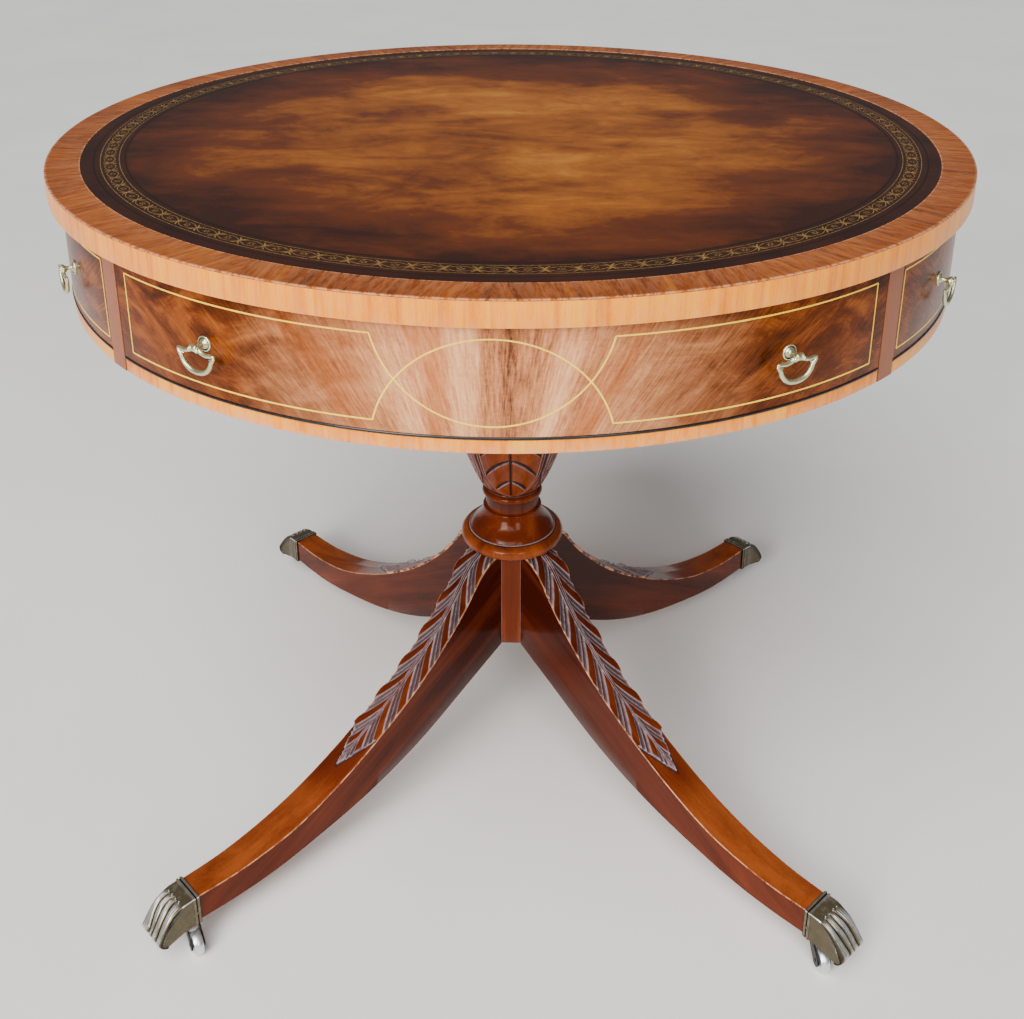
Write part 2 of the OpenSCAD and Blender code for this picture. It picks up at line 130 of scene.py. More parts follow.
class Look:
    """Builds one procedural material."""

    def __init__(self, name, **constants):
        self.material = bpy.data.materials.new(name)
        self.material.use_nodes = True
        self.tree = self.material.node_tree
        self.shader = self.tree.nodes["Principled BSDF"]
        for socket, value in constants.items():
            self.shader.inputs[socket.replace("_", " ")].default_value = value

    def node(self, kind, inputs, **settings):
        made = self.tree.nodes.new(kind)
        for key, value in settings.items():
            setattr(made, key, value)
        for key, value in inputs.items():
            if isinstance(value, bpy.types.NodeSocket):
                self.tree.links.new(value, made.inputs[key])
            elif value is not None:
                made.inputs[key].default_value = value
        return made

    def math(self, operation, a, b=None, c=None, clamp=False):
        made = self.node("ShaderNodeMath", {0: a, 1: b, 2: c}, operation=operation, use_clamp=clamp)
        return made.outputs[0]

    def sway(self, level, amount, base):
        """A base raised or lowered by how far a level lies from its middle, 0.5."""
        return self.math("MULTIPLY_ADD", self.math("SUBTRACT", level, 0.5), amount, base)

    def vector(self, operation, a, b=None):
        return self.node("ShaderNodeVectorMath", {0: a, 1: b}, operation=operation).outputs[0]

    def join(self, x, y, z=0.0):
        return self.node("ShaderNodeCombineXYZ", {0: x, 1: y, 2: z}).outputs[0]

    def split(self, vector):
        return self.node("ShaderNodeSeparateXYZ", {0: vector}).outputs

    def noise(self, vector, scale=(1, 1, 1), detail=2.0, rough=0.5, warp=0.0):
        stretched = self.vector("MULTIPLY", vector, scale)
        inputs = {"Vector": stretched, "Scale": 1.0, "Detail": detail, "Roughness": rough,
                  "Distortion": warp}
        return self.node("ShaderNodeTexNoise", inputs).outputs[0]

    def ramp(self, fac, stops):
        """Colours or greys along a factor: stops are (place, colour or grey)."""
        made = self.node("ShaderNodeValToRGB", {0: fac})
        while len(made.color_ramp.elements) < len(stops):
            made.color_ramp.elements.new(0.5)
        for element, (place, colour) in zip(made.color_ramp.elements, stops):
            element.position = place
            element.color = colour if isinstance(colour, tuple) else (colour,) * 3 + (1.0,)
        return made.outputs[0]

    def mix(self, fac, a, b, blend="MIX"):
        made = self.node("ShaderNodeMix", {0: fac, 6: a, 7: b}, data_type="RGBA", blend_type=blend)
        return made.outputs[2]

    def bump(self, height, distance, strength=1.0, normal=None):
        inputs = {"Height": height, "Distance": distance, "Strength": strength, "Normal": normal}
        return self.node("ShaderNodeBump", inputs).outputs[0]

    def grain(self):
        """Grain coordinates in metres: along the fibres, across them, and the third way."""
        return self.node("ShaderNodeAttribute", {}, attribute_name="grain").outputs["Vector"]

    def place(self):
        return self.node("ShaderNodeTexCoord", {}).outputs["Object"]

    def marks(self):
        """What a mesh says of its own surface: groove, ridge and wear from 0 to 1, and tone. Wood paints
        shade into the grooves, wood and metal paint highlights onto the ridges, and on some parts tone holds
        painted light and shade.
        """
        made = self.node("ShaderNodeAttribute", {}, attribute_name="marks")
        parts = self.split(made.outputs["Vector"])
        return parts[0], parts[1], parts[2], made.outputs["Alpha"]

    def finish(self, colour, roughness, normal=None):
        self.tree.links.new(colour, self.shader.inputs["Base Color"])
        if isinstance(roughness, bpy.types.NodeSocket):
            self.tree.links.new(roughness, self.shader.inputs["Roughness"])
        else:
            self.shader.inputs["Roughness"].default_value = roughness
        if normal:
            self.tree.links.new(normal, self.shader.inputs["Normal"])
        return self.material


# Dark wax with painted shade, which carved grooves in the wood are darkened toward
WAX_AND_GROOVE_SHADE = rgb(30, 26, 30)
# Pale bluish-grey painted highlight, which carved ridges are lightened toward
PAINTED_RIDGE_HIGHLIGHT = rgb(158, 150, 158)
BARE_WOOD = rgb(226, 160, 118)
VARNISH = rgb(255, 176, 118)
VARNISH_IOR = 1.33


def wood(name, dark, mid, light, swap=None, contrast=1.0, sheen=0.3, coat=0.3, band=45.0, gleam=0.5):
    """Polished wood. swap is None for grain coordinates, or the axis of the object that the fibres follow.

    band is how closely the broad figure repeats across the fibres, and gleam the shine under the coat.
    """
    look = Look(name, Coat_Weight=coat, Coat_Roughness=0.1, Coat_IOR=VARNISH_IOR, IOR=VARNISH_IOR,
                Specular_Tint=VARNISH, Specular_IOR_Level=gleam)
    if swap is None:
        along = look.grain()
    else:
        x, y, z = look.split(look.place())
        along = look.join(*{"x": (x, y, z), "y": (y, x, z), "z": (z, x, y)}[swap])
    groove, ridge, wear, tone = look.marks()
    broad = look.noise(along, (2.6, band, band), 3.0, 0.55, 0.6)
    cloud = look.noise(along, (9, 16, 16), 2.0, 0.5, 0.8)
    fibre = look.noise(along, (16, 620, 620), 4.0, 0.6)
    pores = look.noise(along, (75, 2400, 2400), 2.0, 0.5)
    level = look.math("MULTIPLY_ADD", broad, 0.55, look.math("MULTIPLY", cloud, 0.25))
    level = look.math("MULTIPLY_ADD", fibre, 0.2, level)
    level = look.sway(level, 2.2 * contrast, 0.5)
    level = look.math("ADD", level, tone, clamp=True)
    colour = look.ramp(level, [(0.05, dark), (0.5, mid), (0.95, light)])
    pore = look.ramp(pores, [(0.60, 0.0), (0.70, 0.5)])
    colour = look.mix(pore, colour, dark)
    scuff = look.noise(along, (60, 220, 220), 3.0, 0.7)
    chips = look.math("MULTIPLY", wear, look.ramp(scuff, [(0.42, 0.2), (0.54, 1.0)]), clamp=True)
    colour = look.mix(chips, colour, BARE_WOOD)
    # Grooves take dark wax and painted shade
    colour = look.mix(groove, colour, WAX_AND_GROOVE_SHADE)
    # Ridges get a painted highlight, broken up by the scuff noise
    ridge_highlight = look.math("MULTIPLY", ridge, look.ramp(scuff, [(0.3, 0.35), (0.55, 1.0)]), clamp=True)
    colour = look.mix(ridge_highlight, colour, PAINTED_RIDGE_HIGHLIGHT)
    rough = look.math("MULTIPLY_ADD", cloud, 0.12, sheen - 0.05)
    rough = look.math("MULTIPLY_ADD", groove, 0.12, rough)
    normal = look.bump(fibre, 0.00008, 0.6)
    return look.finish(colour, rough, normal)


def flame_veneer():
    """Crotch mahogany: a fanning flame in the middle of a section, cloudy burr toward its ends."""
    look = Look("flame_veneer", Coat_Weight=0.12, Coat_Roughness=0.1, Coat_IOR=VARNISH_IOR,
                IOR=VARNISH_IOR, Specular_Tint=VARNISH, Specular_IOR_Level=0.2)
    across, height, leaf = look.split(look.grain())
    fan = look.math("DIVIDE", across, look.math("MULTIPLY_ADD", height, 7.0, 1.0))
    flame = look.join(fan, height, leaf)
    stripes = look.noise(flame, (42, 3, 1), 3.0, 0.55, 0.5)
    fibres = look.noise(flame, (620, 52, 1), 5.0, 0.7, 0.3)
    glow = look.noise(flame, (24, 4, 1), 2.0, 0.5, 0.4)
    flat = look.join(across, height, leaf)
    clouds = look.noise(flat, (15, 24, 1), 5.0, 0.6, 1.6)
    speck = look.noise(flat, (160, 420, 1), 3.0, 0.6, 0.8)
    away = look.math("ABSOLUTE", across)
    side = look.ramp(look.math("DIVIDE", away, 0.34), [(0.16, 0.0), (0.62, 1.0)])
    bold = look.ramp(look.math("DIVIDE", away, 0.12), [(0.1, 1.1), (0.9, 0.3)])
    calm = look.sway(stripes, bold, 0.5)
    level = look.node("ShaderNodeMix", {0: side, 2: calm, 3: clouds}).outputs[0]
    level = look.sway(speck, 0.15, look.sway(fibres, 0.65, level))
    middle = look.ramp(level, [(0.26, rgb(88, 48, 34)), (0.46, rgb(184, 118, 76)),
                               (0.7, rgb(234, 172, 124))])
    middle = look.mix(look.ramp(glow, [(0.54, 0.0), (0.68, 0.55)]), middle, rgb(164, 78, 20))
    outer = look.ramp(level, [(0.28, rgb(46, 17, 3)), (0.5, rgb(94, 41, 10)), (0.72, rgb(144, 76, 24))])
    colour = look.mix(side, middle, outer)
    rough = look.math("MULTIPLY_ADD", clouds, 0.14, 0.2)
    return look.finish(colour, rough, look.bump(fibres, 0.00005, 0.5))


def leather():
    """Aged skiver: golden clouds in the middle, dark at the border, with a fine pebble."""
    look = Look("leather", Coat_Weight=0.2, Coat_Roughness=0.25, Specular_IOR_Level=0.25)
    place = look.place()
    x, y, _ = look.split(place)
    radius = look.math("SQRT", look.math("MULTIPLY_ADD", x, x, look.math("MULTIPLY", y, y)))
    out = look.math("DIVIDE", radius, leather_r / 1000)
    clouds = look.noise(place, (5.5, 11, 1), 5.0, 0.58, 0.5)
    blots = look.noise(place, (17, 24, 1), 4.0, 0.6, 0.8)
    fine = look.noise(place, (130, 130, 130), 4.0, 0.65)
    level = look.math("MULTIPLY_ADD", clouds, 0.7, look.math("MULTIPLY", blots, 0.3))
    level = look.math("SUBTRACT", level, look.ramp(out, [(0.5, 0.0), (0.9, 0.32)]))
    level = look.sway(fine, 0.1, level)
    field = look.ramp(level, [(0.14, rgb(50, 18, 5)), (0.38, rgb(98, 44, 10)), (0.56, rgb(156, 88, 22)),
                              (0.70, rgb(190, 122, 42))])
    border = look.ramp(level, [(0.1, rgb(40, 14, 5)), (0.5, rgb(72, 32, 12))])
    colour = look.mix(look.ramp(out, [(0.895, 0.0), (0.905, 1.0)]), field, border)
    scuffs = look.ramp(look.noise(place, (38, 300, 1), 5.0, 0.7, 0.4), [(0.68, 0.0), (0.76, 0.35)])
    colour = look.mix(scuffs, colour, rgb(176, 128, 84))
    pebble = look.node("ShaderNodeTexVoronoi", {"Vector": place, "Scale": 900.0},
                       feature="SMOOTH_F1").outputs[0]
    rough = look.math("MULTIPLY_ADD", fine, 0.2, 0.27)
    normal = look.bump(pebble, 0.00012, 0.35, look.bump(blots, 0.0006, 0.25))
    return look.finish(colour, rough, normal)


def metal(name, hollow, surface, ridge_highlight, rough, scale=260.0, uneven=0.5, metallic=0.9):
    """Aged metal: dark in its hollows, bright on its ridges with a painted highlight, and a little patchy
    between.
    """
    look = Look(name, Metallic=metallic)
    place = look.place()
    groove, ridge, _, _ = look.marks()
    patches = look.noise(place, (scale,) * 3, 4.0, 0.6)
    level = look.sway(patches, uneven, 0.5)
    level = look.math("SUBTRACT", level, look.math("MULTIPLY", groove, 0.5))
    # Ridges lighten toward the last colour: a painted highlight
    level = look.math("MULTIPLY_ADD", ridge, 0.5, level, clamp=True)
    colour = look.ramp(level, [(0.05, hollow), (0.5, surface), (0.95, ridge_highlight)])
    roughness = look.math("MULTIPLY_ADD", patches, 0.2, rough - 0.1)
    grit = look.noise(place, (2600, 2600, 2600), 2.0, 0.6)
    return look.finish(colour, roughness, look.bump(grit, 0.00003, 0.5))


def plain(name, dark, light, roughness, scale, metallic=0.0, coat=0.0):
    """An even finish with a little variation: gold leaf, boxwood lines, black stain, the floor."""
    look = Look(name, Metallic=metallic, Coat_Weight=coat, Coat_Roughness=0.1, IOR=VARNISH_IOR,
                Coat_IOR=VARNISH_IOR)
    patches = look.noise(look.place(), (scale,) * 3, 4.0, 0.6)
    colour = look.ramp(patches, [(0.3, dark), (0.7, light)])
    rough = look.math("MULTIPLY_ADD", patches, 0.2, roughness - 0.1)
    return look.finish(colour, rough, look.bump(patches, 0.00005, 0.4))


MAHOGANY = wood("mahogany", rgb(50, 12, 4), rgb(94, 36, 13), rgb(142, 70, 28), contrast=0.8, sheen=0.2,
                coat=0.36, gleam=0.12)
STILE = wood("stile_veneer", rgb(78, 30, 14), rgb(112, 52, 26), rgb(138, 74, 40), "z", 0.7)
CROSSBAND = wood("crossband", rgb(86, 32, 4), rgb(140, 66, 10), rgb(180, 100, 24), contrast=1.2, coat=0.15,
                 band=170)
EDGE_BAND = wood("edge_band", rgb(200, 96, 0), rgb(246, 146, 6), rgb(254, 188, 38), contrast=0.8,
                 coat=0.0, band=120)
CORE = wood("core_wood", rgb(84, 46, 26), rgb(112, 66, 38), rgb(140, 88, 54), "x", 0.8, 0.55, 0.0)
PALE = rgb(150, 106, 66), rgb(182, 138, 92), rgb(206, 166, 118)
DRAWER_WOOD = wood("drawer_wood", *PALE, "x", 0.7, 0.6, 0.0)
DRAWER_WOOD_Y = wood("drawer_wood_y", *PALE, "y", 0.7, 0.6, 0.0)
FLAME = flame_veneer()
LEATHER = leather()
BRASS = metal("pull_brass", rgb(70, 76, 52), rgb(206, 206, 164), rgb(250, 248, 214), 0.3, 140.0, 0.4)
# Its last colour is the bluish-white painted highlight on the toes
BRONZE = metal("paw_brass", rgb(24, 21, 15), rgb(104, 94, 70), rgb(226, 232, 238), 0.26, 110.0, 0.25,
               metallic=0.65)
IRON = metal("caster_iron", rgb(12, 11, 10), rgb(36, 34, 32), rgb(70, 66, 60), 0.4)
STEEL = metal("wheel_steel", rgb(150, 152, 156), rgb(226, 230, 236), rgb(245, 247, 250), 0.34)
SCREW = metal("screw_steel", rgb(60, 58, 54), rgb(120, 117, 110), rgb(170, 167, 160), 0.4)
GOLD_LEAF = plain("gold_leaf", rgb(120, 84, 40), rgb(206, 166, 96), 0.45, 320.0, 0.6)
BLIND_LINE = plain("blind_line", rgb(26, 13, 8), rgb(44, 22, 13), 0.4, 300.0)
BOXWOOD = plain("boxwood", rgb(252, 192, 24), rgb(255, 222, 76), 0.45, 180.0)
EBONISED = plain("ebonised", rgb(14, 10, 9), rgb(34, 26, 22), 0.3, 240.0, coat=0.6)
FLOOR = plain("floor", rgb(236, 235, 233), rgb(243, 242, 240), 0.75, 2.0)

# ---- meshes ----


def stack(*parts):
    """Points, or marks, from their parts: numbers or arrays of any shapes that fit together."""
    return np.stack(np.broadcast_arrays(*parts), -1).astype(float)


def place_at(azimuth, r, z):
    """A point, or arrays of points, at an azimuth in degrees and a radius."""
    a = np.radians(azimuth)
    return stack(r * np.sin(a), -r * np.cos(a), z)


def curve(points, steps):
    """A smooth curve through points, with a number of steps between each two."""
    p = np.array(points, float)
    ends = np.vstack([p[0], p, p[-1]])
    t = np.arange(steps)[:, None] / steps
    rows = []
    for a, b, c, d in zip(ends, ends[1:], ends[2:], ends[3:]):
        rows.append(0.5 * (2 * b + (c - a) * t + (2 * a - 5 * b + 4 * c - d) * t ** 2
                           + (3 * b - 3 * c + d - a) * t ** 3))
    return np.vstack([*rows, p[-1:]])


def arc(centre, r, start, end, steps):
    """Points of an arc between two angles in degrees."""
    a = np.radians(np.linspace(start, end, steps + 1))
    return stack(centre[0] + r * np.cos(a), centre[1] + r * np.sin(a))


def smooth(x, low, high):
    """0 below low, 1 above high, and a smooth rise between them."""
    t = np.clip((x - low) / (high - low), 0, 1)
    return t * t * (3 - 2 * t)


def hump(x, width, power=2):
    """1 where x is 0, falling off smoothly to each side over a width."""
    return np.exp(-(x / width) ** power)


class Shape:
    """Points in millimetres, faces, and what the materials read at each point."""

    def __init__(self):
        self.points, self.faces, self.grains, self.marks = [], [], [], []
        self.count = 0

    def grid(self, points, grain=None, marks=None, wrap=False, caps=False):
        """Adds rows of points as a sheet of quads. wrap closes each row; caps fill the first and last."""
        rows, cols = points.shape[:2]
        index = self.count + np.arange(rows * cols).reshape(rows, cols)
        closed = np.hstack([index, index[:, :1]]) if wrap else index
        corners = [closed[:-1, :-1], closed[1:, :-1], closed[1:, 1:], closed[:-1, 1:]]
        self.faces += np.stack(corners, -1).reshape(-1, 4).tolist()
        if caps:
            self.faces += [index[0].tolist(), index[-1][::-1].tolist()]
        flat = points.reshape(-1, 3)
        self.points.append(flat)
        self.grains.append(flat / 1000 if grain is None else grain.reshape(-1, 3) / 1000)
        blank = np.zeros((len(flat), 4))
        self.marks.append(blank if marks is None else np.broadcast_to(marks, (rows, cols, 4)).reshape(-1, 4))
        self.count += len(flat)
        return index

    def add(self, other, matrix=None, shift=0.0):
        """Adds another shape, moved by a 4x4 matrix. shift moves its grain, so that copies differ."""
        for points in other.points:
            self.points.append(points if matrix is None else transform(points, matrix))
        self.grains += [grain + shift for grain in other.grains]
        self.marks += other.marks
        self.faces += [[i + self.count for i in face] for face in other.faces]
        self.count += other.count


def placed(shape, matrix, shift=0.0):
    """A copy of a shape, moved by a 4x4 matrix."""
    copy = Shape()
    copy.add(shape, matrix, shift)
    return copy


def transform(points, matrix):
    """Points moved by a 4x4 matrix."""
    m = np.array(matrix)
    return points @ m[:3, :3].T + m[:3, 3]


def turned(degrees):
    """The matrix that turns about the table's axis."""
    return Matrix.Rotation(math.radians(degrees), 4, "Z")


def piece(name, shape, material, body, replaced=(), sharp=38, weld=False, cutter=None):
    """Makes an object of a shape, riding on a body and standing for the CAD nodes it replaces."""
    mesh = bpy.data.meshes.new(name)
    mesh.from_pydata(in_frame(shape.points), [], shape.faces)
    grain = mesh.attributes.new("grain", "FLOAT_VECTOR", "POINT")
    grain.data.foreach_set("vector", np.concatenate(shape.grains).ravel())
    marks = mesh.attributes.new("marks", "FLOAT_COLOR", "POINT")
    marks.data.foreach_set("color", np.concatenate(shape.marks).ravel())
    work = bmesh.new()
    work.from_mesh(mesh)
    if weld:
        bmesh.ops.remove_doubles(work, verts=work.verts, dist=1e-6)
    bmesh.ops.recalc_face_normals(work, faces=work.faces)
    work.to_mesh(mesh)
    work.free()
    mesh.materials.append(material)
    made = bpy.data.objects.new(name, mesh)
    scene.collection.objects.link(made)
    if cutter:
        made.modifiers.new("hollow", "BOOLEAN").object = cutter
        bpy.context.view_layer.update()
        cut = bpy.data.meshes.new_from_object(made.evaluated_get(bpy.context.evaluated_depsgraph_get()))
        made.modifiers.clear()
        made.data = mesh = cut
    mesh.shade_smooth()
    mesh.set_sharp_from_angle(angle=math.radians(sharp))
    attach(made, body)
    if replaced:
        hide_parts(*replaced)
    return made


def mark(tone=0.0, groove=0.0, ridge=0.0, wear=0.0):
    """What a material reads at one point, in the order that Look.marks() splits it."""
    return np.array([groove, ridge, wear, tone])


def rounded(corners, radius, steps=3):
    """A closed outline with its corners rounded: corners are (x, y) or (x, y, own radius)."""
    rows = []
    count = len(corners)
    for i, corner in enumerate(corners):
        here = np.array(corner[:2], float)
        r = corner[2] if len(corner) > 2 else radius
        before = np.array(corners[i - 1][:2]) - here
        after = np.array(corners[(i + 1) % count][:2]) - here
        a, b = here + before / np.linalg.norm(before) * r, here + after / np.linalg.norm(after) * r
        for t in np.linspace(0, 1, steps + 1):
            rows.append((1 - t) ** 2 * a + 2 * t * (1 - t) * here + t * t * b)
    return np.array(rows)


def sector(shape, outline, start, end, step, grain, marks=None):
    """A solid stretch of a ring: an outline of (radius, height), swept between two azimuths."""
    turns = np.linspace(start, end, max(2, int(abs(end - start) / step) + 1))[:, None]
    points = place_at(turns, outline[None, :, 0], outline[None, :, 1])
    shape.grid(points, grain(turns, outline[None, :, 0], outline[None, :, 1]), marks, wrap=True, caps=True)


def along(path, where):
    """Points at distances along a path, and the path's unit directions there."""
    steps = np.linalg.norm(np.diff(path, axis=0), axis=1)
    reach = np.concatenate([[0], np.cumsum(steps)])
    at = np.stack([np.interp(where, reach, column) for column in path.T], -1)
    ahead = np.stack([np.interp(where + 0.5, reach, column) for column in path.T], -1)
    back = np.stack([np.interp(where - 0.5, reach, column) for column in path.T], -1)
    way = ahead - back
    return at, way / np.linalg.norm(way, axis=1, keepdims=True), reach[-1]


def tube(shape, path, radius, sides=10, marks=None, flat=1.0):
    """A round rod along a path. radius is one number or one for each point; flat squashes it along Y."""
    path = np.array(path, float)
    radius = np.broadcast_to(radius, len(path))
    way = np.gradient(path, axis=0)
    way /= np.linalg.norm(way, axis=1, keepdims=True)
    side = np.cross(way[0], (0.3, 1, 0.2))
    rows = []
    turn = np.arange(sides)[:, None] * TAU / sides
    for point, ahead, r in zip(path, way, radius):
        side = side - ahead * (side @ ahead)
        side /= np.linalg.norm(side)
        rows.append(point + (np.cos(turn) * side + np.sin(turn) * np.cross(ahead, side)) * r * (1, flat, 1))
    shape.grid(np.array(rows), marks=marks, wrap=True, caps=True)


def upright_grain(points):
    """Grain coordinates of upright timber: along Z."""
    return points[..., [2, 0, 1]]


def turning(shape, profile, steps, axis="Z", marks=None, upright=False):
    """A turned solid: rows of (radius, height) about an axis, with its grain upright or as it lies."""
    a = np.arange(steps)[None, :] * TAU / steps
    r, h = profile[:, :1], profile[:, 1:2]
    points = stack(*{"Z": (r * np.sin(a), -r * np.cos(a), h), "Y": (r * np.cos(a), h, r * np.sin(a)),
                     "X": (h, r * np.cos(a), r * np.sin(a))}[axis])
    shape.grid(points, upright_grain(points) if upright else None,
               None if marks is None else marks[:, None], wrap=True, caps=True)


def ribbon(shape, path, width, put, rise=0.12, marks=None):
    """A thin inlaid or tooled line, crowned a little, along a flat path that put() lays on a surface."""
    path = np.array(path, float)
    way = np.gradient(path, axis=0)
    side = stack(-way[:, 1], way[:, 0])
    side *= np.reshape(width, (-1, 1)) / 2 / np.linalg.norm(side, axis=1, keepdims=True)
    rows = [put(path - side, 0.01), put(path, rise), put(path + side, 0.01), put(path, -0.2)]
    shape.grid(np.stack(rows, 1), marks=marks, wrap=True, caps=True)


# ---- top: crossbanding, edge band and tooling ----

def cuts(start, end, least, most):
    """Azimuths at which a band of veneer is jointed, at uneven steps."""
    places = [start]
    while places[-1] < end - most:
        places.append(places[-1] + rng.uniform(least, most))
    return [*places, end]


def band(shape, outline, start, end, least, most, fibres, step=1.0, marks=None, tone=0.12):
    """Crossbanding: lengths of veneer end to end, each with its own grain and shade."""
    places = cuts(start, end, least, most)
    for first, last in zip(places, places[1:]):
        offset = rng.uniform(-400, 400, 3)
        middle, slant = math.radians((first + last) / 2), math.radians(rng.uniform(-14, 14))

        def grain(turns, r, z):
            if fibres == "vertical":
                flat = stack(z, np.radians(turns) * r, r)
            else:
                a = np.radians(turns) - middle
                out, side = r * np.cos(a), r * np.sin(a)
                flat = stack(out * math.cos(slant) + side * math.sin(slant),
                             side * math.cos(slant) - out * math.sin(slant), z)
            return flat + offset
        own = mark(rng.uniform(-tone, tone)) + (0 if marks is None else marks[None])
        sector(shape, outline, first, last, step, grain, own)


def make_top():
    rim = np.array([(leather_r, veneer_z), (leather_r, top_z - 0.3), (leather_r + 0.3, top_z),
                    (leather_r + 1.6, top_z), (top_r - 2.6, top_z), (top_r - 0.9, top_z),
                    (top_r - 0.27, top_z - 0.27), (top_r, top_z - 0.9), (top_r, veneer_z)])
    profile_marks = np.array([mark(wear=w) for w in (0, 0.5, 0.85, 0.2, 0.1, 0.5, 0.8, 0.4, 0)])
    crossbanding = Shape()
    band(crossbanding, rim, 0, 360, 7, 15, "radial", marks=profile_marks)
    piece("crossbanding", crossbanding, CROSSBAND, "table", ["top_crossband"])
    side = np.array([(top_r, veneer_z), (top_r, top_z0 + 0.7), (top_r - 0.2, top_z0 + 0.2),
                     (top_r - 0.7, top_z0), (top_r - 3, top_z0), (top_r - 3, veneer_z)])
    profile_marks = np.array([mark(wear=w) for w in (0.1, 0.3, 0.8, 0.3, 0, 0)])
    edging = Shape()
    band(edging, side, 0, 360, 30, 70, "vertical", marks=profile_marks, tone=0.06)
    piece("edge_veneer", edging, EDGE_BAND, "table", ["top_edge_band"])


# The gilt band's middle and half width, its lines, and the blind lines beside it
TOOLED_R, TOOLED_HALF, GILT_W = 398.25, 8.6, 0.7
BLIND_RADII, BLIND_W = (384.2, 413.1), 1.5
MOTIFS = 100


def on_leather(points, height):
    """Lays a flat path on the leather: along the tooled band, and out from its middle."""
    a, r = np.degrees(points[:, 0] / TOOLED_R), TOOLED_R + points[:, 1]
    return place_at(a, r, leather_z + height * 0.6)


def make_tooling():
    length = TAU * TOOLED_R / MOTIFS
    motif = Shape()
    u = np.linspace(-length / 2, length / 2, 15)
    for hand in (-1, 1):
        ribbon(motif, stack(u, hand * 5.0 * np.cos(np.pi * u / length)), 0.75, on_leather)
        for side in (-1, 1):
            leaf = curve([(side * length / 2, 0.5 * hand), (side * (length / 2 - 1.4), 3.2 * hand),
                          (side * (length / 2 - 4.6), 6.2 * hand)], 3)
            ribbon(motif, leaf, np.array([0.5, 1.0, 1.5, 1.7, 1.5, 1.0, 0.35]), on_leather)
    ribbon(motif, arc((0, 0), 1.7, 0, 360, 10), 0.5, on_leather)
    for angle in range(30, 390, 60):
        a = math.radians(angle)
        petal = np.outer((1.9, 2.6, 3.4), (math.cos(a) * 1.15, math.sin(a) * 0.85))
        ribbon(motif, petal, np.array([0.4, 0.95, 0.3]), on_leather)
    gold = Shape()
    for k in range(MOTIFS):
        gold.add(motif, turned(360 * k / MOTIFS))
    around = np.linspace(0, TAU * TOOLED_R, 361)
    for offset in (-TOOLED_HALF, TOOLED_HALF):
        ribbon(gold, stack(around, offset), GILT_W, on_leather)
    piece("tooling_gold", gold, GOLD_LEAF, "table")
    blind = Shape()
    for radius in BLIND_RADII:
        ribbon(blind, stack(around, radius - TOOLED_R), BLIND_W, on_leather)
    piece("tooling_blind", blind, BLIND_LINE, "table")


# ---- drum: veneers, beads, bands and strings ----

JOINT_GAP, STILE_ANGLE = 1.8, 2.9
HALF_SECTION = 45 - math.degrees(math.asin(JOINT_GAP / drum_r)) / 2
FACING_HALF = HALF_SECTION - STILE_ANGLE
# Each section: name, azimuth of its middle, half angle, top, body, half angle of its strings
SECTIONS = [("front", 0, HALF_SECTION, front_z1, "drawer", 43.0),
            ("right", 90, FACING_HALF, top_z0, "table", 41.5),
            ("rear", 180, HALF_SECTION, top_z0, "table", 43.0),
            ("left", 270, FACING_HALF, top_z0, "table", 41.5)]
STRING_LOW, STRING_HIGH = 655.2, 726.0
STRING_W = 1.35
# How far the inner corners of the panels are from the middle, and the radius of the oval's arcs
CORNER_S, OVAL_R = 90.2, 93.0
# How far apart in the veneer's pattern the sections are, a degree of azimuth
LEAF_STEP = 10.0


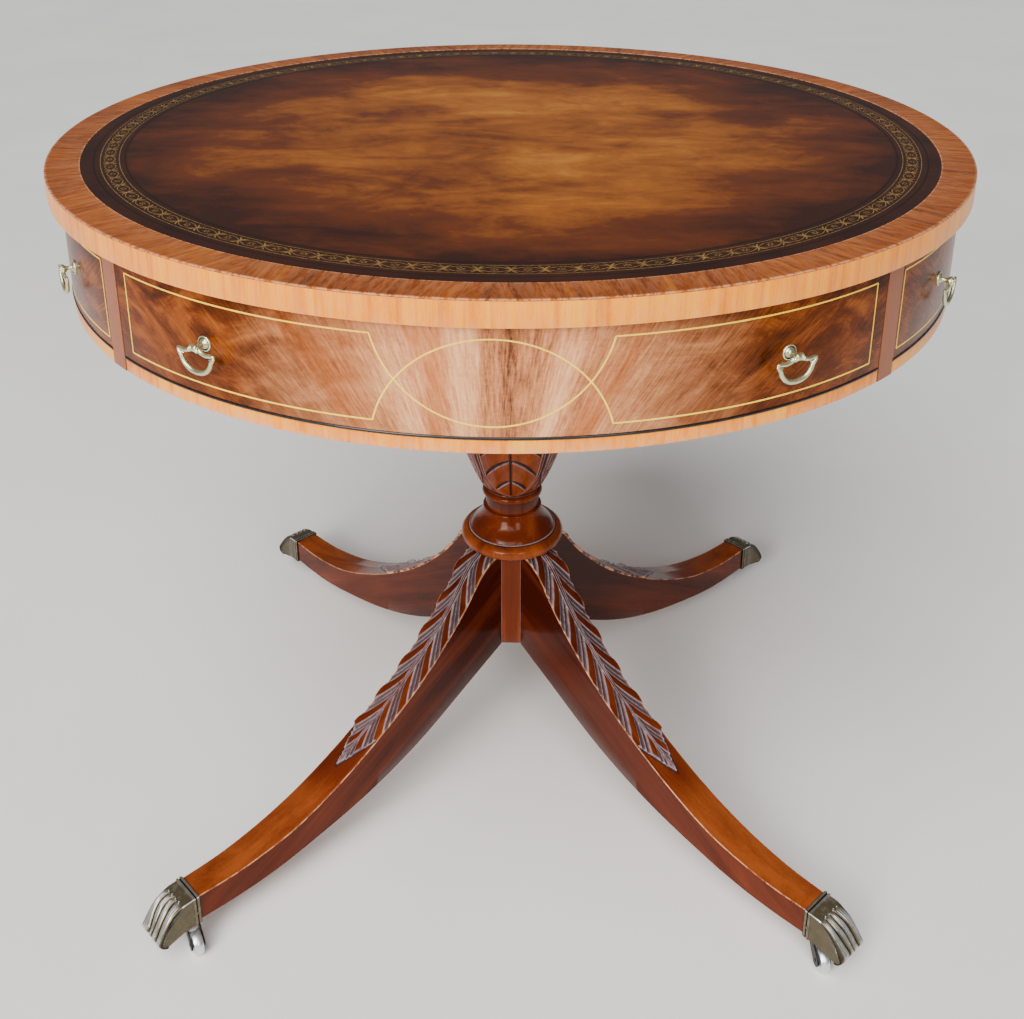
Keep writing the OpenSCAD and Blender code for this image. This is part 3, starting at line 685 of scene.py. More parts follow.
def make_section(name, middle, half, high, body, string_half):
    """One quarter of the drum's face: flame veneer, black bead, light band and boxwood strings."""
    core_r = drum_r - FACING_T
    drawer = name == "front"

    def flat(turns, r, z):
        across = np.radians(turns - middle) * drum_r
        return stack(across, z - bead_z1, middle * LEAF_STEP)
    veneer = Shape()
    face = rounded([(core_r, bead_z1), (drum_r, bead_z1), (drum_r, high), (core_r, high)], 0.2, 2)
    sector(veneer, face, middle - half, middle + half, 0.5, flat)
    replaced = "drawer_veneer" if drawer else "false_front_" + name
    piece("veneer_" + name, veneer, FLAME, body, [replaced], weld=True)

    bead = Shape()
    nose = arc((drum_r - 0.2, (band_z1 + bead_z1) / 2), (bead_z1 - band_z1) / 2, -90, 90, 8)
    nose[:, 0] = drum_r - 0.2 + (nose[:, 0] - drum_r + 0.2) * 0.75
    outline = np.vstack([[(core_r, bead_z1), (core_r, band_z1)], nose])
    sector(bead, outline, middle - half, middle + half, 0.5, flat)
    piece("bead_" + name, bead, EBONISED, body, ["drawer_bead" if drawer else "drum_beads"],
          weld=True)

    low_band = Shape()
    outline = rounded([(core_r, drum_z0), (drum_r, drum_z0, 0.8), (drum_r, band_z1), (core_r, band_z1)], 0.1)
    profile_marks = np.array([mark(wear=0.7 if r > drum_r - 1 and z < drum_z0 + 1 else 0.05) for r, z in outline])
    band(low_band, outline, middle - half, middle + half, 3, 9, "vertical", 0.6, profile_marks, 0.14)
    piece("band_" + name, low_band, EDGE_BAND, body,
          ["drawer_band" if drawer else "drum_bands"])

    def on_face(points, height):
        return place_at(middle + np.degrees(points[:, 0] / drum_r), drum_r + height, points[:, 1])
    strings = Shape()
    far = math.radians(string_half) * drum_r
    for hand in (-1, 1):
        for z in (STRING_LOW, STRING_HIGH):
            line = np.linspace(hand * CORNER_S, hand * far, 60)
            ribbon(strings, stack(line, z), STRING_W, on_face)
        upright = np.linspace(STRING_LOW, STRING_HIGH, 8)
        ribbon(strings, stack(hand * far, upright), STRING_W, on_face)
    depth = OVAL_R - math.sqrt(OVAL_R ** 2 - CORNER_S ** 2)
    s = CORNER_S * np.sin(np.radians(np.linspace(-90, 90, 61)))
    swell = (np.sqrt(OVAL_R ** 2 - s ** 2) - OVAL_R) / depth + 0.5
    for side in (-1, 1):
        oval = (STRING_LOW + STRING_HIGH) / 2 + side * swell * (STRING_HIGH - STRING_LOW)
        ribbon(strings, stack(s, oval), STRING_W, on_face)
    piece("strings_" + name, strings, BOXWOOD, body)


# ---- pulls ----

PULL_ANGLE, PULL_Z, PULL_REACH = 30.4, 691.5, 10.5
PULL_R = drum_r + PULL_REACH
SHANK_BACK = 37.0


def at_pull(azimuth):
    """Where a pull sits: X along its pin, Y out from the drum."""
    return turned(azimuth) @ Matrix.Translation((0, -PULL_R, PULL_Z)) @ turned(180)


def spiral(centre, outer, inner, turns, hand, steps=22):
    """A scroll in the XZ plane at a point, winding inward."""
    t = np.linspace(0, 1, steps)
    r, a = outer + (inner - outer) * t, np.pi / 2 + hand * t * turns * TAU
    return stack(centre[0] + r * np.cos(a), centre[1] + 0.5 * t, centre[2] + r * np.sin(a))


def post_shape():
    """A pull's rosette, its neck, and the eye that holds the bail's pin."""
    shape = Shape()
    low = -PULL_REACH
    face = [(0.01, -0.6), (6.3, -0.6), (6.6, 0.2), (6.5, 1.0), (6.0, 1.45), (5.4, 1.35), (5.0, 0.95),
            (4.6, 1.0), (3.9, 1.9), (2.9, 2.6), (2.2, 3.3), (1.9, 4.2)]
    neck = [(1.75, 5.4), (1.8, 6.8), (2.4, 7.6), (2.5, 8.4), (1.6, 9.0), (0.01, 9.2)]
    profile = curve(face[1:], 3)
    profile = np.vstack([[face[0]], profile, curve(neck[:-1], 3), [neck[-1]]])
    # A painted highlight on the rosette's outer ring
    hollows = np.array([mark(groove=float(4.4 < r < 5.6 and h > 0.2) + 0.5 * (h > 8.7),
                             ridge=float(5.6 < r < 6.4 and h > 0.9)) for r, h in profile])
    turning(shape, profile + (0, low), 40, "Y", hollows)
    eye = np.array([(0.01, -2.3), (2.6, -2.3), (3.05, -1.9), (3.2, -1.1), (3.0, 0), (3.2, 1.1), (3.05, 1.9),
                    (2.6, 2.3), (0.01, 2.3)])
    turning(shape, eye, 28, "X")
    tube(shape, [(0, low, 0), (0, low - SHANK_BACK + 10.5, 0)], 1.8, 12)
    return shape


BAIL_ARM = [(3.6, 0, -0.6), (6.5, 0.3, -2.6), (11, 0.4, -3.7), (15.5, 0.1, -3.4), (19.9, 0, -3.3)]
BAIL_BOW = [(19.6, 0, -4.0), (17.9, 0, -6.2), (15.9, 0, -9.0), (14.2, 0, -13.2), (10.6, 0, -17.3),
            (5.6, 0, -19.9), (0, 0, -20.6)]


def bail_shape():
    """A shield-shaped bail about its pin, with rolled barrels, scrolls and pointed ears."""
    shape = Shape()
    tube(shape, [(-5.0, 0, 0), (5.0, 0, 0)], 1.3, 16)
    for hand in (-1, 1):
        flip = np.array((hand, 1, 1))
        barrel = [(0.01, 2.7), (2.2, 2.7), (2.75, 3.1), (2.85, 3.9), (2.75, 4.7), (2.2, 5.1), (0.01, 5.15)]
        turning(shape, np.array([(r, h * hand) for r, h in barrel]), 24, "X")
        arm = curve(BAIL_ARM, 5) * flip
        size = np.interp(np.linspace(0, 1, len(arm)), (0, 0.3, 0.7, 0.9, 1), (2.2, 1.8, 1.8, 1.5, 0.4))
        tube(shape, arm, size, 12, flat=0.9)
        # A painted highlight on the scrolls
        tube(shape, spiral((hand * 3.8, 2.2, -0.4), 2.1, 0.6, 1.2, hand), 0.66, 8, mark(ridge=0.7))
        tube(shape, curve([(17.2, 0, -6.6), (15.2, 0, -6.4), (13.2, 0, -7.2)], 3) * flip,
             np.linspace(1.0, 0.25, 7), 8)
    half = curve(BAIL_BOW, 5)
    bow = np.vstack([half, half[-2::-1] * (-1, 1, 1)])
    t = np.abs(np.linspace(-1, 1, len(bow)))
    tube(shape, bow, np.interp(t, (0, 0.3, 0.75, 0.93, 1), (2.3, 2.1, 1.8, 1.4, 0.4)), 16, flat=0.9)
    return shape


BAILS = {"front_left": -PULL_ANGLE, "front_right": PULL_ANGLE, "right_front": 90 - PULL_ANGLE,
         "right_rear": 90 + PULL_ANGLE, "rear_right": 180 - PULL_ANGLE, "rear_left": 180 + PULL_ANGLE,
         "left_rear": 270 - PULL_ANGLE, "left_front": 270 + PULL_ANGLE}


def make_pulls():
    post, bail = post_shape(), bail_shape()
    posts = {"drawer": Shape(), "drum": Shape()}
    for name, azimuth in BAILS.items():
        owner = "drawer" if name.startswith("front") else "drum"
        posts[owner].add(post, at_pull(azimuth))
        piece("pull_" + name, placed(bail, at_pull(azimuth)), BRASS, "bail_" + name,
              ["bail_" + name])
    for owner, shape in posts.items():
        body = "drawer" if owner == "drawer" else "table"
        piece("posts_" + owner, shape, BRASS, body, [owner + "_pull_posts"])


# ---- pedestal ----

block_face = span("leg_block")[1].x
block_z0, block_z1 = span("leg_block")[0].z, span("leg_block")[1].z
LEG_W, FOOT_W, LEG_END, TAPER_FROM = 40.0, 32.0, 446.0, 330.0
leg_root = block_face * math.sqrt(2) - LEG_W / 2
LEG_AZIMUTHS = {"front_left": -45, "front_right": 45, "rear_right": 135, "rear_left": 225}
ROOT_TOP = block_z1 + 12.8
LOWER_BEAD = arc((51.4, 279.8), 8, -80, 84, 16)
BELL = curve([(48.8, 289.3), (45.6, 293.6), (39.4, 300.5), (34.8, 307.6), (32.4, 314)], 5)
NECK_BEAD = arc((30.4, 335.7), 4.3, -84, 84, 12)
VASE = curve([(32.6, 342.6), (35.4, 348), (41.2, 360), (46.8, 373), (53.0, 390),
              (59, 412), (55.5, 434), (43, 451), (33, 460)], 6)
SHAFT_BEAD = arc((32.5, 466), 4.6, -84, 84, 10)
SHAFT = curve([(30, 472), (29, 490), (31.5, 530), (35, 574), (37.5, 588)], 5)
HEAD_BEAD = arc((38, 594), 5, -84, 84, 10)
# The column's tenons, hidden in the block and the cap block
FOOT_TENON_R, FOOT_TENON_Z = 22.0, 180.0
HEAD_TENON_R, HEAD_TENON_Z = 25.0, 635.0
HEAD_R, HEAD_Z = 46.0, 612.0
# Where the lower bead meets the bell, and the quirks either side of the neck bead: height, half height
BELL_FOOT = 288.3
QUIRKS = ((341, 0.8), (331.4, 0.4))
# The vase's leaves: how many, where they start, and how high their veins start on the midrib
LEAVES, LEAF_FOOT = 4, 344.0
VEIN_TOPS = (371, 403, 432)


def carve_vase(shape):
    """Broad leaves round the vase: a midrib, drooping veins, double outlines and a stippled field."""
    rows, cols = 150, 480
    at, _, _ = along(VASE, np.linspace(0, along(VASE, np.zeros(1))[2], rows))
    r, z = at[:, :1], at[:, 1:]
    azimuth = np.arange(cols)[None, :] * 360 / cols
    x = (azimuth + 180 / LEAVES) % (360 / LEAVES) - 180 / LEAVES
    away = np.abs(x)
    half = np.interp(z, (343, 347, 352, 362, 374, 424, 444, 458), (8, 20, 30, 39, 43.6, 43.6, 30, 4))
    groove, ridge = np.zeros((rows, cols)), np.zeros((rows, cols))
    inside = smooth(half - away, 0, 1.5) * smooth(z, LEAF_FOOT - 0.5, LEAF_FOOT + 1)
    for line, width, depth in ((half, 1.5, 1.0), (half - 4.6, 1.0, 0.7)):
        groove += depth * hump(away - line, width)
        ridge += 0.5 * hump(away - line + 2.2, 0.8) * inside
    groove += 1.1 * hump(away, 1.5) * smooth(z, LEAF_FOOT + 1, LEAF_FOOT + 3) * smooth(449 - z, 0, 4)
    for top in VEIN_TOPS:
        last = np.minimum(half - 8, 35)
        line = top - 0.1 * away ** 1.58
        out = np.clip((away - 1.5) / np.maximum(last - 1.5, 1), 0, 1)
        body = out ** 0.4 * (1 - out ** 5)
        groove += 1.25 * hump(z - line, 0.7 + 2.3 * body, 4) * (body > 0.05)
        ridge += 0.9 * hump(z - line + 3.6 * body + 0.6, 0.7) * (body > 0.2)
    groove = np.clip(groove + 1.2 * hump(z - LEAF_FOOT, 1.0), 0, 1.2)
    field = inside * (1 - np.clip(groove, 0, 1))
    depth = 1.0 * inside - 1.9 * groove + 0.3 * ridge + field * rng.uniform(-0.14, 0.14, (rows, cols))
    ends = smooth(z, LEAF_FOOT - 1.3, LEAF_FOOT) * smooth(VASE[-1, 1] - z, 0, 2)
    points = place_at(azimuth, r + depth * ends, z)
    # Grooves take dark wax and painted shade, ridges a painted highlight
    marks = stack(np.clip(groove * 0.85, 0, 0.92), np.clip(ridge, 0, 0.8), 0, 0.16 * field)
    shape.grid(points, upright_grain(points), marks, wrap=True)


def make_column():
    """The turned column, from its tenon in the block to the one in the cap block, with its carved vase."""
    shape = Shape()
    foot = np.vstack([[(0.01, FOOT_TENON_Z), (FOOT_TENON_R, FOOT_TENON_Z), (FOOT_TENON_R, ROOT_TOP),
                       (50, ROOT_TOP)], LOWER_BEAD,
                      [(50.6, BELL_FOOT), (50.5, BELL_FOOT + 0.5), (50.1, BELL_FOOT + 0.8)], BELL,
                      [(33.5, 314.4), (34.0, 315.4), (33.5, 316.6), (30.6, 317.4)], NECK_BEAD,
                      [(31.5, 340.4), (31.5, 342), VASE[0]]])
    # Painted light on the lower bead, a thin painted highlight on the ledge above it, and dark wax with
    # painted shade in the joint under the ledge and in the quirks
    profile_marks = np.array([mark(tone=0.25 * (ROOT_TOP < z < BELL_FOOT), ridge=0.7 * (0.4 < z - BELL_FOOT < 0.9),
                          groove=(-0.05 < z - BELL_FOOT < 0.15)
                          + 0.8 * any(abs(z - at) < half for at, half in QUIRKS)) for r, z in foot])
    turning(shape, foot, 160, marks=profile_marks, upright=True)
    carve_vase(shape)
    head = np.vstack([VASE[-1:], [(32, 461.2)], SHAFT_BEAD, [(31, 471)], SHAFT, [(38, 588.8)], HEAD_BEAD,
                      [(HEAD_R, 600), (HEAD_R, HEAD_Z), (HEAD_TENON_R, HEAD_Z), (HEAD_TENON_R, HEAD_TENON_Z),
                       (0.01, HEAD_TENON_Z)]])
    turning(shape, head, 120, upright=True)
    piece("carved_column", shape, MAHOGANY, "table", ["column"])


def make_block():
    """The square block between the legs, a painted highlight down its upright corners and its lower corners
    eased.
    """
    reach = leg_root * math.sqrt(2)
    inner = reach - block_face
    corners = []
    for k in range(4):
        for side in (-1, 1):
            corners.append(np.array(turned(90 * k) @ Vector((side * inner, -block_face, 0)))[:2])
    outline = rounded(corners, 0.8, 3)
    heights = np.array([block_z0, block_z0 + 0.4, block_z0 + 1.5, block_z0 + 20, ROOT_TOP - 20, ROOT_TOP])
    scale = np.array([0.955, 0.98, 1, 1, 1, 1])
    points = np.concatenate([outline[None] * scale[:, None, None],
                             np.broadcast_to(heights[:, None, None], (6, len(outline), 1))], -1)
    # A painted highlight down the middle of each rounded corner
    marks = np.broadcast_to(mark(ridge=0.35), (6, len(outline), 4)).copy()
    marks[:, ::4, 1] = marks[:, 3::4, 1] = 0.0
    shape = Shape()
    shape.grid(points, upright_grain(points), marks, wrap=True, caps=True)
    piece("block", shape, MAHOGANY, "table", ["leg_block"])


LEG_TOP = curve([(leg_root, ROOT_TOP - 0.2), (62, 258.5), (100, 211), (160, 155), (240, 104), (320, 68.5),
                 (390, 54), (LEG_END, 52.5)], 8)
LEG_UNDER = curve([(leg_root, 145), (80, 121), (165, 76), (250, 46.5), (350, 27.5), (400, 22.4),
                   (LEG_END, 22)], 8)
# The frond's stretch along a leg's top, a leaflet's length, and how much further out its tip is than its root
FROND_FROM, FROND_TO = 10.0, 293.0
LEAFLET, SWEEP = 41.0, 46.0
# Shares of a leaflet's length: where its lobe ends, its flutes' starts and widths, and its crests
LOBE = 0.44
FLUTES = ((0.47, 0.22), (0.73, 0.20))
CRESTS = (0.0, 0.45, 0.71, 0.95, 1.0)
# How steeply a leg's fibres fall outward, in degrees, and how many points there are across its top
FIBRE_FALL, ACROSS = 30.0, 61


def frond(s, v, half):
    """Carving on a leg's top at a distance s along it and v across it: height, groove, ridge, overhang."""
    away = np.abs(v)
    y = away * half
    tip = np.clip((FROND_TO - s) / 46, 0, 1)
    reach = np.where(tip < 1, tip * half * 0.98, half * 1.05)
    on = (y < reach).astype(float) * smooth(s, FROND_FROM - 6, FROND_FROM)
    rib_w = np.interp(s, (0, FROND_TO), (3.6, 1.3))
    f = ((s - SWEEP * away ** 0.72) / LEAFLET + 0.35) % 1.0
    dome = np.sqrt(np.clip(1 - (2 * f / LOBE - 1) ** 2, 0, 1)) * (f < LOBE)
    flutes, crests = np.zeros_like(f), np.zeros_like(f)
    for start, width in FLUTES:
        flutes += np.sin(np.pi * np.clip((f - start) / width, 0, 1)) ** 0.8
    for place in CRESTS:
        crests += hump(f - place, 0.022)
    height = 1.5 + 0.9 * dome - 2.3 * flutes + 0.5 * crests
    rib = smooth(rib_w - y, -0.3, 0.6)
    ribs = np.cos(y / rib_w * np.pi * 2.5)
    height = height * (1 - rib) + rib * (2.3 + 0.55 * ribs)
    # groove puts dark wax and painted shade in the flutes and the central rib's hollows, ridge a painted
    # highlight on the crests and the rib's beads
    groove = np.clip(flutes * 0.95, 0, 1) * (1 - rib) + rib * np.clip(-ribs, 0, 1) * 0.8
    ridge = (np.clip(crests, 0, 1) * 0.85 + 0.16 * flutes) * (1 - rib) + rib * np.clip(ribs, 0, 1) * 0.8
    # A painted highlight along the frond's edge, and painted shade just outside it
    rim = hump(reach - y, 1.3) * (tip < 1)
    edge = hump(y - reach - 0.9, 0.9) * (tip < 1) * (s < FROND_TO + 3)
    groove = np.clip(groove * on + edge, 0, 0.95)
    ridge = np.clip(ridge * on + rim * on, 0, 0.9)
    scallop = on * (1.9 * dome - 0.9 * flutes) * away ** 6
    return height * on, groove, ridge, scallop


def leg_shape():
    """A sabre leg along +X: flat sides, a top of two slight facets, and the carved frond."""
    length = along(LEG_TOP, np.zeros(1))[2]
    stations = np.concatenate([np.arange(0, FROND_TO + 6, 1.0), np.linspace(FROND_TO + 8, length, 44)])
    top, way, _ = along(LEG_TOP, stations)
    under_length = along(LEG_UNDER, np.zeros(1))[2]
    under, _, _ = along(LEG_UNDER, stations / length * under_length)
    top[0, 0] = under[0, 0] = leg_root
    top[-1, 0] = under[-1, 0] = LEG_END
    s = stations[:, None]
    half = np.interp(top[:, 0], (TAPER_FROM, LEG_END + 1), (LEG_W / 2, FOOT_W / 2))[:, None]
    ease = 0.7
    v = np.linspace(-1, 1, ACROSS)[None, :]
    height, groove, ridge, scallop = frond(s, v, half - ease)
    lift = height + 1.3 * (1 - np.abs(v))
    normal = stack(-way[:, 1], way[:, 0])
    normal[[0, -1]] = (0, 1)
    x = top[:, :1] + normal[:, :1] * lift
    z = top[:, 1:] + normal[:, 1:] * lift
    y = (half - ease) * v + np.sign(v) * scallop
    chips = 0.6 * hump(1 - np.abs(v), 0.014)
    # Painted light on the top past the frond, and painted shade on it near the block
    tone = 0.3 * smooth(s, FROND_TO, FROND_TO + 50) - 0.22 * (1 - smooth(s, 60, 260))
    blend = np.array([0.0, 0.02, 0.35, 0.68, 0.985, 1.0])
    inset = np.array([0, 0, 0, 0, 0, ease])
    shifts = np.array([ease, 0, 0, 0, -ease, 0])
    wear = np.array([0.9, 0.0, 0.0, 0.0, 0.0, 0.5])

    def side(hand, order):
        f = blend[order]
        point = top[:, None, :] * (1 - f)[None, :, None] + under[:, None, :] * f[None, :, None]
        point[..., 1] -= shifts[order] * (f < 0.5)
        out = hand * (half - inset[order][None, :])
        marks = np.zeros(point.shape[:2] + (4,))
        marks[..., 2] = wear[order]
        # Painted shade on the sides, darkest near the block
        marks[..., 3] = np.interp(top[:, 0], (90, 180, 300), (-0.42, -0.22, -0.12))[:, None]
        return stack(point[..., 0], out, point[..., 1]), marks
    right, right_marks = side(1, np.arange(6))
    left, left_marks = side(-1, np.arange(5, -1, -1))
    points = np.concatenate([stack(x, y, z), right, left], 1)
    marks = np.concatenate([stack(groove, ridge, chips, tone), right_marks, left_marks], 1)
    x, y, z = np.moveaxis(points, -1, 0)
    fall = math.radians(FIBRE_FALL)
    grain = stack(x * math.cos(fall) - z * math.sin(fall), y, x * math.sin(fall) + z * math.cos(fall))
    shape = Shape()
    shape.grid(points, grain, marks, wrap=True, caps=True)
    return shape


def make_legs():
    shape = leg_shape()
    for k, (name, azimuth) in enumerate(LEG_AZIMUTHS.items()):
        leg = placed(shape, turned(azimuth - 90), np.array((0.61, 0.17, 0.29)) * k)
        piece("carved_leg_" + name, leg, MAHOGANY, "table", ["leg_" + name])


# ---- feet ----

PAW_W = 34.0
# Stations of a paw: the top's distance and height, the sole's, how far the toes stand out, and the collar,
# 1 on its bands and -1 in its grooves
PAW = [(446, 53.2, 446, 20.0, 0, -1), (446.7, 53.2, 446.7, 20, 0, -1), (447.0, 53.4, 447, 20, 0, 1),
       (449.3, 53.4, 449.3, 19.9, 0, 1), (449.7, 53.4, 449.6, 19.8, 0, -1),
       (450.7, 53.4, 450.5, 19.7, 0, -1), (451.1, 53.4, 450.9, 19.6, 0, 1),
       (453.3, 53.3, 453, 19.4, 0, 1), (453.8, 53.2, 453.4, 19.3, 0, 0),
       (458, 53.0, 457.5, 19.2, 0, 0), (463, 52.7, 462, 19.0, 0, 0), (466, 52.2, 466, 18.2, 0.3, 0),
       (470, 50.8, 470, 17, 0.6, 0), (476, 47.4, 475, 15.4, 0.8, 0), (481.8, 42, 479, 14.8, 0.85, 0),
       (487, 35.8, 482.5, 14.5, 0.9, 0), (491.2, 29.4, 485.5, 14.4, 1.0, 0), (493.6, 24.4, 486, 15, 1.05, 0),
       (493, 20.6, 486, 15, 1.0, 0), (490.7, 17.5, 485.6, 14.8, 0.85, 0),
       (487.4, 15.6, 485.2, 14.7, 0.6, 0), (485.2, 14.8, 484.8, 14.6, 0.3, 0)]
# How many of the stations are the collar and socket
HEAD_ROWS = 11
TOES = 4
CURL_X, CURL_STEP = 465.5, 6.6
SWIVEL_R, WHEEL_W = 451.0, 10.0
# The hollow under a paw that its caster turns in
HOLLOW_R, HOLLOW_TOP = 16.0, 20.0


def paw_shape():
    """A lion's paw along +X: collar and socket, then four toes with their gaps and hair."""
    head = np.array(PAW[:HEAD_ROWS], float)
    toes = curve(PAW[HEAD_ROWS - 1:], 6)
    rows = np.vstack([head, toes[1:]])
    top, sole, amount, collar = rows[:, 0:2], rows[:, 2:4], rows[:, 4:5], rows[:, 5:6]
    up = top - sole
    up /= np.linalg.norm(up, axis=1, keepdims=True)
    down = np.concatenate([np.zeros(len(head)), np.linspace(0, 1, len(toes))[1:]])[:, None]
    v = np.linspace(-1, 1, 121)[None, :]
    # The gaps between the toes wind: crowded under the curls, then out, in and out again
    crowd = np.interp(down, (0, 0.3, 0.58, 1), (0.72, 0.95, 0.7, 1.0))
    lean = 0.17 * np.sin(TAU * 1.1 * down + 0.4) * (1 - v * v)
    wound = np.sign(v) * np.abs(v) ** crowd + lean
    q = ((wound + 1) / 2 * TOES) % 1.0 * 2 - 1
    q = np.where(np.abs(v) >= 1, 1, q)
    arch = np.sqrt(np.clip(1 - 0.985 * np.abs(q) ** 2.8, 0, 1))
    hair = np.cos(q * np.pi * 4.5) * smooth(amount, 0.2, 0.7) * smooth(top[:, 1:], 16, 24)
    depth = amount * 4.6 * (1 - arch) - 0.2 * hair * arch
    knuckle, tip = hump(down - 0.32, 0.12), hump(down - 0.72, 0.16)
    rise = 0.9 * collar.clip(0) - 0.5 * (collar < 0) - depth + amount * (0.4 + 0.9 * knuckle + 1.6 * tip)
    wide = PAW_W / 2 + 0.9 * collar.clip(0) + 2.9 * amount * smooth(down, 0.1, 0.8)
    rise = rise - hump(1 - np.abs(v), 0.02) * (1 - smooth(amount, 0, 0.3)) * 0.4
    upper = stack(top[:, :1] + up[:, :1] * rise, wide * v, top[:, 1:] + up[:, 1:] * rise)
    gap = np.clip((1 - arch) * 1.3, 0, 0.9) * smooth(amount, 0.1, 0.5) + 1.0 * (collar < 0)
    # shine is a painted highlight on the toes' crowns, knuckles and tips, the collar bands and the socket's
    # edges
    shine = np.clip((arch - 0.6) * 2, 0, 1) * smooth(amount, 0.1, 0.5) * (0.35 + 0.4 * knuckle + 0.5 * tip)
    shine = shine * (0.7 + 0.3 * hair) + 0.15 * collar.clip(0)
    shine = np.maximum(shine, hump(1 - np.abs(v), 0.03) * (amount < 0.2) * (collar >= 0))
    marks = stack(gap.clip(0, 1), shine.clip(0, 1), 0, 0)
    f = np.array([0.04, 0.09, 0.16, 0.26, 0.4, 0.6, 0.8, 1.0])

    def side(hand, f):
        """The flat side under the outer toe, a little hollow where the toe stands out from it."""
        point = upper[:, -1 if hand > 0 else 0, [0, 2]][:, None] * (1 - f)[None, :, None]
        point = point + sole[:, None, :] * f[None, :, None]
        under = smooth(f, 0.04, 0.26)[None, :]
        out = hand * (wide - 1.8 * amount * under)
        side_marks = np.zeros(point.shape[:2] + (4,))
        side_marks[..., 0] = np.clip((collar < 0) + 0.3 * (collar == 0) + 0.5 * amount * (under < 0.9), 0, 1)
        return stack(point[..., 0], out, point[..., 1]), side_marks
    right, right_marks = side(1, f)
    left, left_marks = side(-1, f[::-1])
    points = np.concatenate([upper, right, left], 1)
    marks = np.concatenate([marks, right_marks, left_marks], 1)
    shape = Shape()
    shape.grid(points, None, marks, wrap=True, caps=True)
    return shape


def curls_shape():
    """The curls of hair and their dots where the toes leave the socket."""
    shape, bead = Shape(), Shape()
    dot = np.array([(0.01, -1.0), (0.65, -0.8), (0.6, 0.3), (0.35, 0.6), (0.01, 0.7)])
    # The dots and the curls carry a painted highlight
    turning(bead, dot, 10, "Z", np.array([mark(ridge=0.6)] * len(dot)))
    for k in range(TOES):
        y = CURL_STEP * (k + 0.5 - TOES / 2)
        t = np.linspace(0, 1, 20)
        r, a = 2.0 - 1.3 * t, np.pi * 0.75 + (1 if k % 2 else -1) * t * 1.15 * TAU
        lean = -0.16 * (r * np.cos(a))
        tube(shape, stack(CURL_X + r * np.cos(a), y + r * np.sin(a), 53.2 + lean), 0.36, 7, mark(ridge=0.15))
        shape.add(bead, Matrix.Translation((CURL_X, y, 53.1)))
    return shape


def wheel_shape():
    """A caster's wheel about X: crowned tread, dished faces and a hub each side."""
    half, bore = WHEEL_W / 2, 1.6
    face = [(bore, half), (3.8, half), (4.3, half - 0.6), (8.4, half - 1.0), (10.8, half - 0.3),
            (11.6, half - 0.6), (12.2, half - 1.6), (12.5, 0)]
    outline = np.array([(r, h) for r, h in face] + [(r, -h) for r, h in face[-2::-1]])
    shape = Shape()
    turning(shape, outline, 48, "X")
    return shape


def make_feet():
    paw, curls, wheel, well = paw_shape(), curls_shape(), wheel_shape(), Shape()
    turning(well, np.array([(0.01, -1.0), (HOLLOW_R, -1), (HOLLOW_R, HOLLOW_TOP), (0.01, HOLLOW_TOP)]), 64)
    for name, azimuth in LEG_AZIMUTHS.items():
        place = turned(azimuth - 90)
        moved = placed(well, place @ Matrix.Translation((SWIVEL_R, 0, 0)))
        cutter = bpy.data.objects.new("cutter", bpy.data.meshes.new("cutter"))
        cutter.data.from_pydata(in_frame(moved.points), [], moved.faces)
        scene.collection.objects.link(cutter)
        piece("lion_paw_" + name, placed(paw, place), BRONZE, "table", ["paw_" + name],
              sharp=42, cutter=cutter)
        bpy.data.objects.remove(cutter)
        piece("paw_curls_" + name, placed(curls, place), BRONZE, "table")
        low, high = span("wheel_" + name)
        centre = (low + high) / 2
        axle = next(j for j in frame["joints"] if j["name"] == "wheel_" + name + "_spin")["axis"]
        facing = Vector((1, 0, 0)).rotation_difference(Vector(axle)).to_matrix().to_4x4()
        tyre = placed(wheel, Matrix.Translation(centre) @ facing)
        piece("tyre_" + name, tyre, STEEL, "wheel_" + name, ["wheel_" + name])


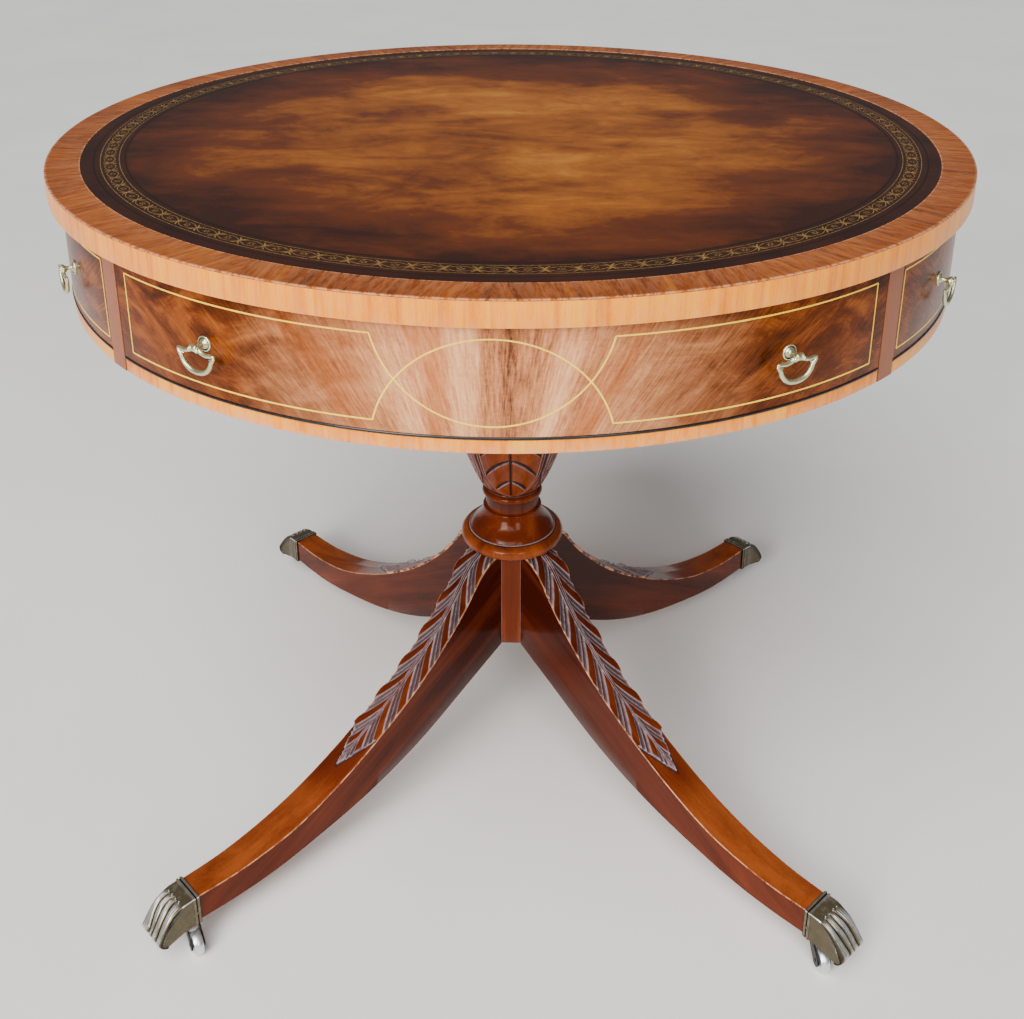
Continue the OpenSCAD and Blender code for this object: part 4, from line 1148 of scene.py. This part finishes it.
# ---- the CAD nodes that stay, by how their names start ----

KEPT = {"top_board": CORE, "leather_top": LEATHER, "top_screws": SCREW, "cap_screws": SCREW,
        "rail_": STILE, "drum_floor": CORE, "corner_blocks": CORE, "cap_block": CORE,
        "drawer_guide": DRAWER_WOOD_Y, "drawer_stop": DRAWER_WOOD, "drawer_front": CORE,
        "drawer_side": DRAWER_WOOD_Y, "drawer_back": DRAWER_WOOD, "drawer_bottom": DRAWER_WOOD_Y,
        "drawer_pull_nuts": BRASS, "drum_pull_nuts": BRASS, "paw_pins": BRONZE, "horn_": IRON}


def dress_kept_nodes():
    for name, node in nodes.items():
        for start, material in KEPT.items():
            if name.startswith(start):
                for slot in node.material_slots:
                    slot.material = material


def make_floor():
    mesh = bpy.data.meshes.new("floor")
    far = 14.0
    corners = [(-far, -far, 0), (far, -far, 0), (far, far, 0), (-far, far, 0)]
    mesh.from_pydata(corners, [], [(0, 1, 2, 3)])
    mesh.materials.append(FLOOR)
    floor = bpy.data.objects.new("floor", mesh)
    scene.collection.objects.link(floor)


def make_studio():
    add_camera()
    make_floor()
    add_light("key", (-1.5, -3.0, 1.8), (0, 0, 0.6), (1.2, 1.6), 105, (1.0, 0.95, 0.88))
    add_light("window", (1.3, -3.2, 1.9), (0, 0, 0.5), (0.8, 1.6), 32, (0.94, 0.97, 1.0))
    sun = bpy.data.lights.new("sun", "SUN")
    sun.energy, sun.angle = 3.4, math.radians(50)
    lamp = bpy.data.objects.new("sun", sun)
    lamp.rotation_euler = Vector((0.25, 0.75, -1.0)).to_track_quat("-Z", "Y").to_euler()
    scene.collection.objects.link(lamp)
    world = bpy.data.worlds.new("studio")
    world.use_nodes = True
    background = world.node_tree.nodes["Background"]
    background.inputs[0].default_value = (0.9, 0.92, 0.95, 1)
    background.inputs[1].default_value = 0.16
    scene.world = world


make_studio()
make_top()
make_tooling()
for section in SECTIONS:
    make_section(*section)
make_pulls()
make_column()
make_block()
make_legs()
make_feet()
dress_kept_nodes()
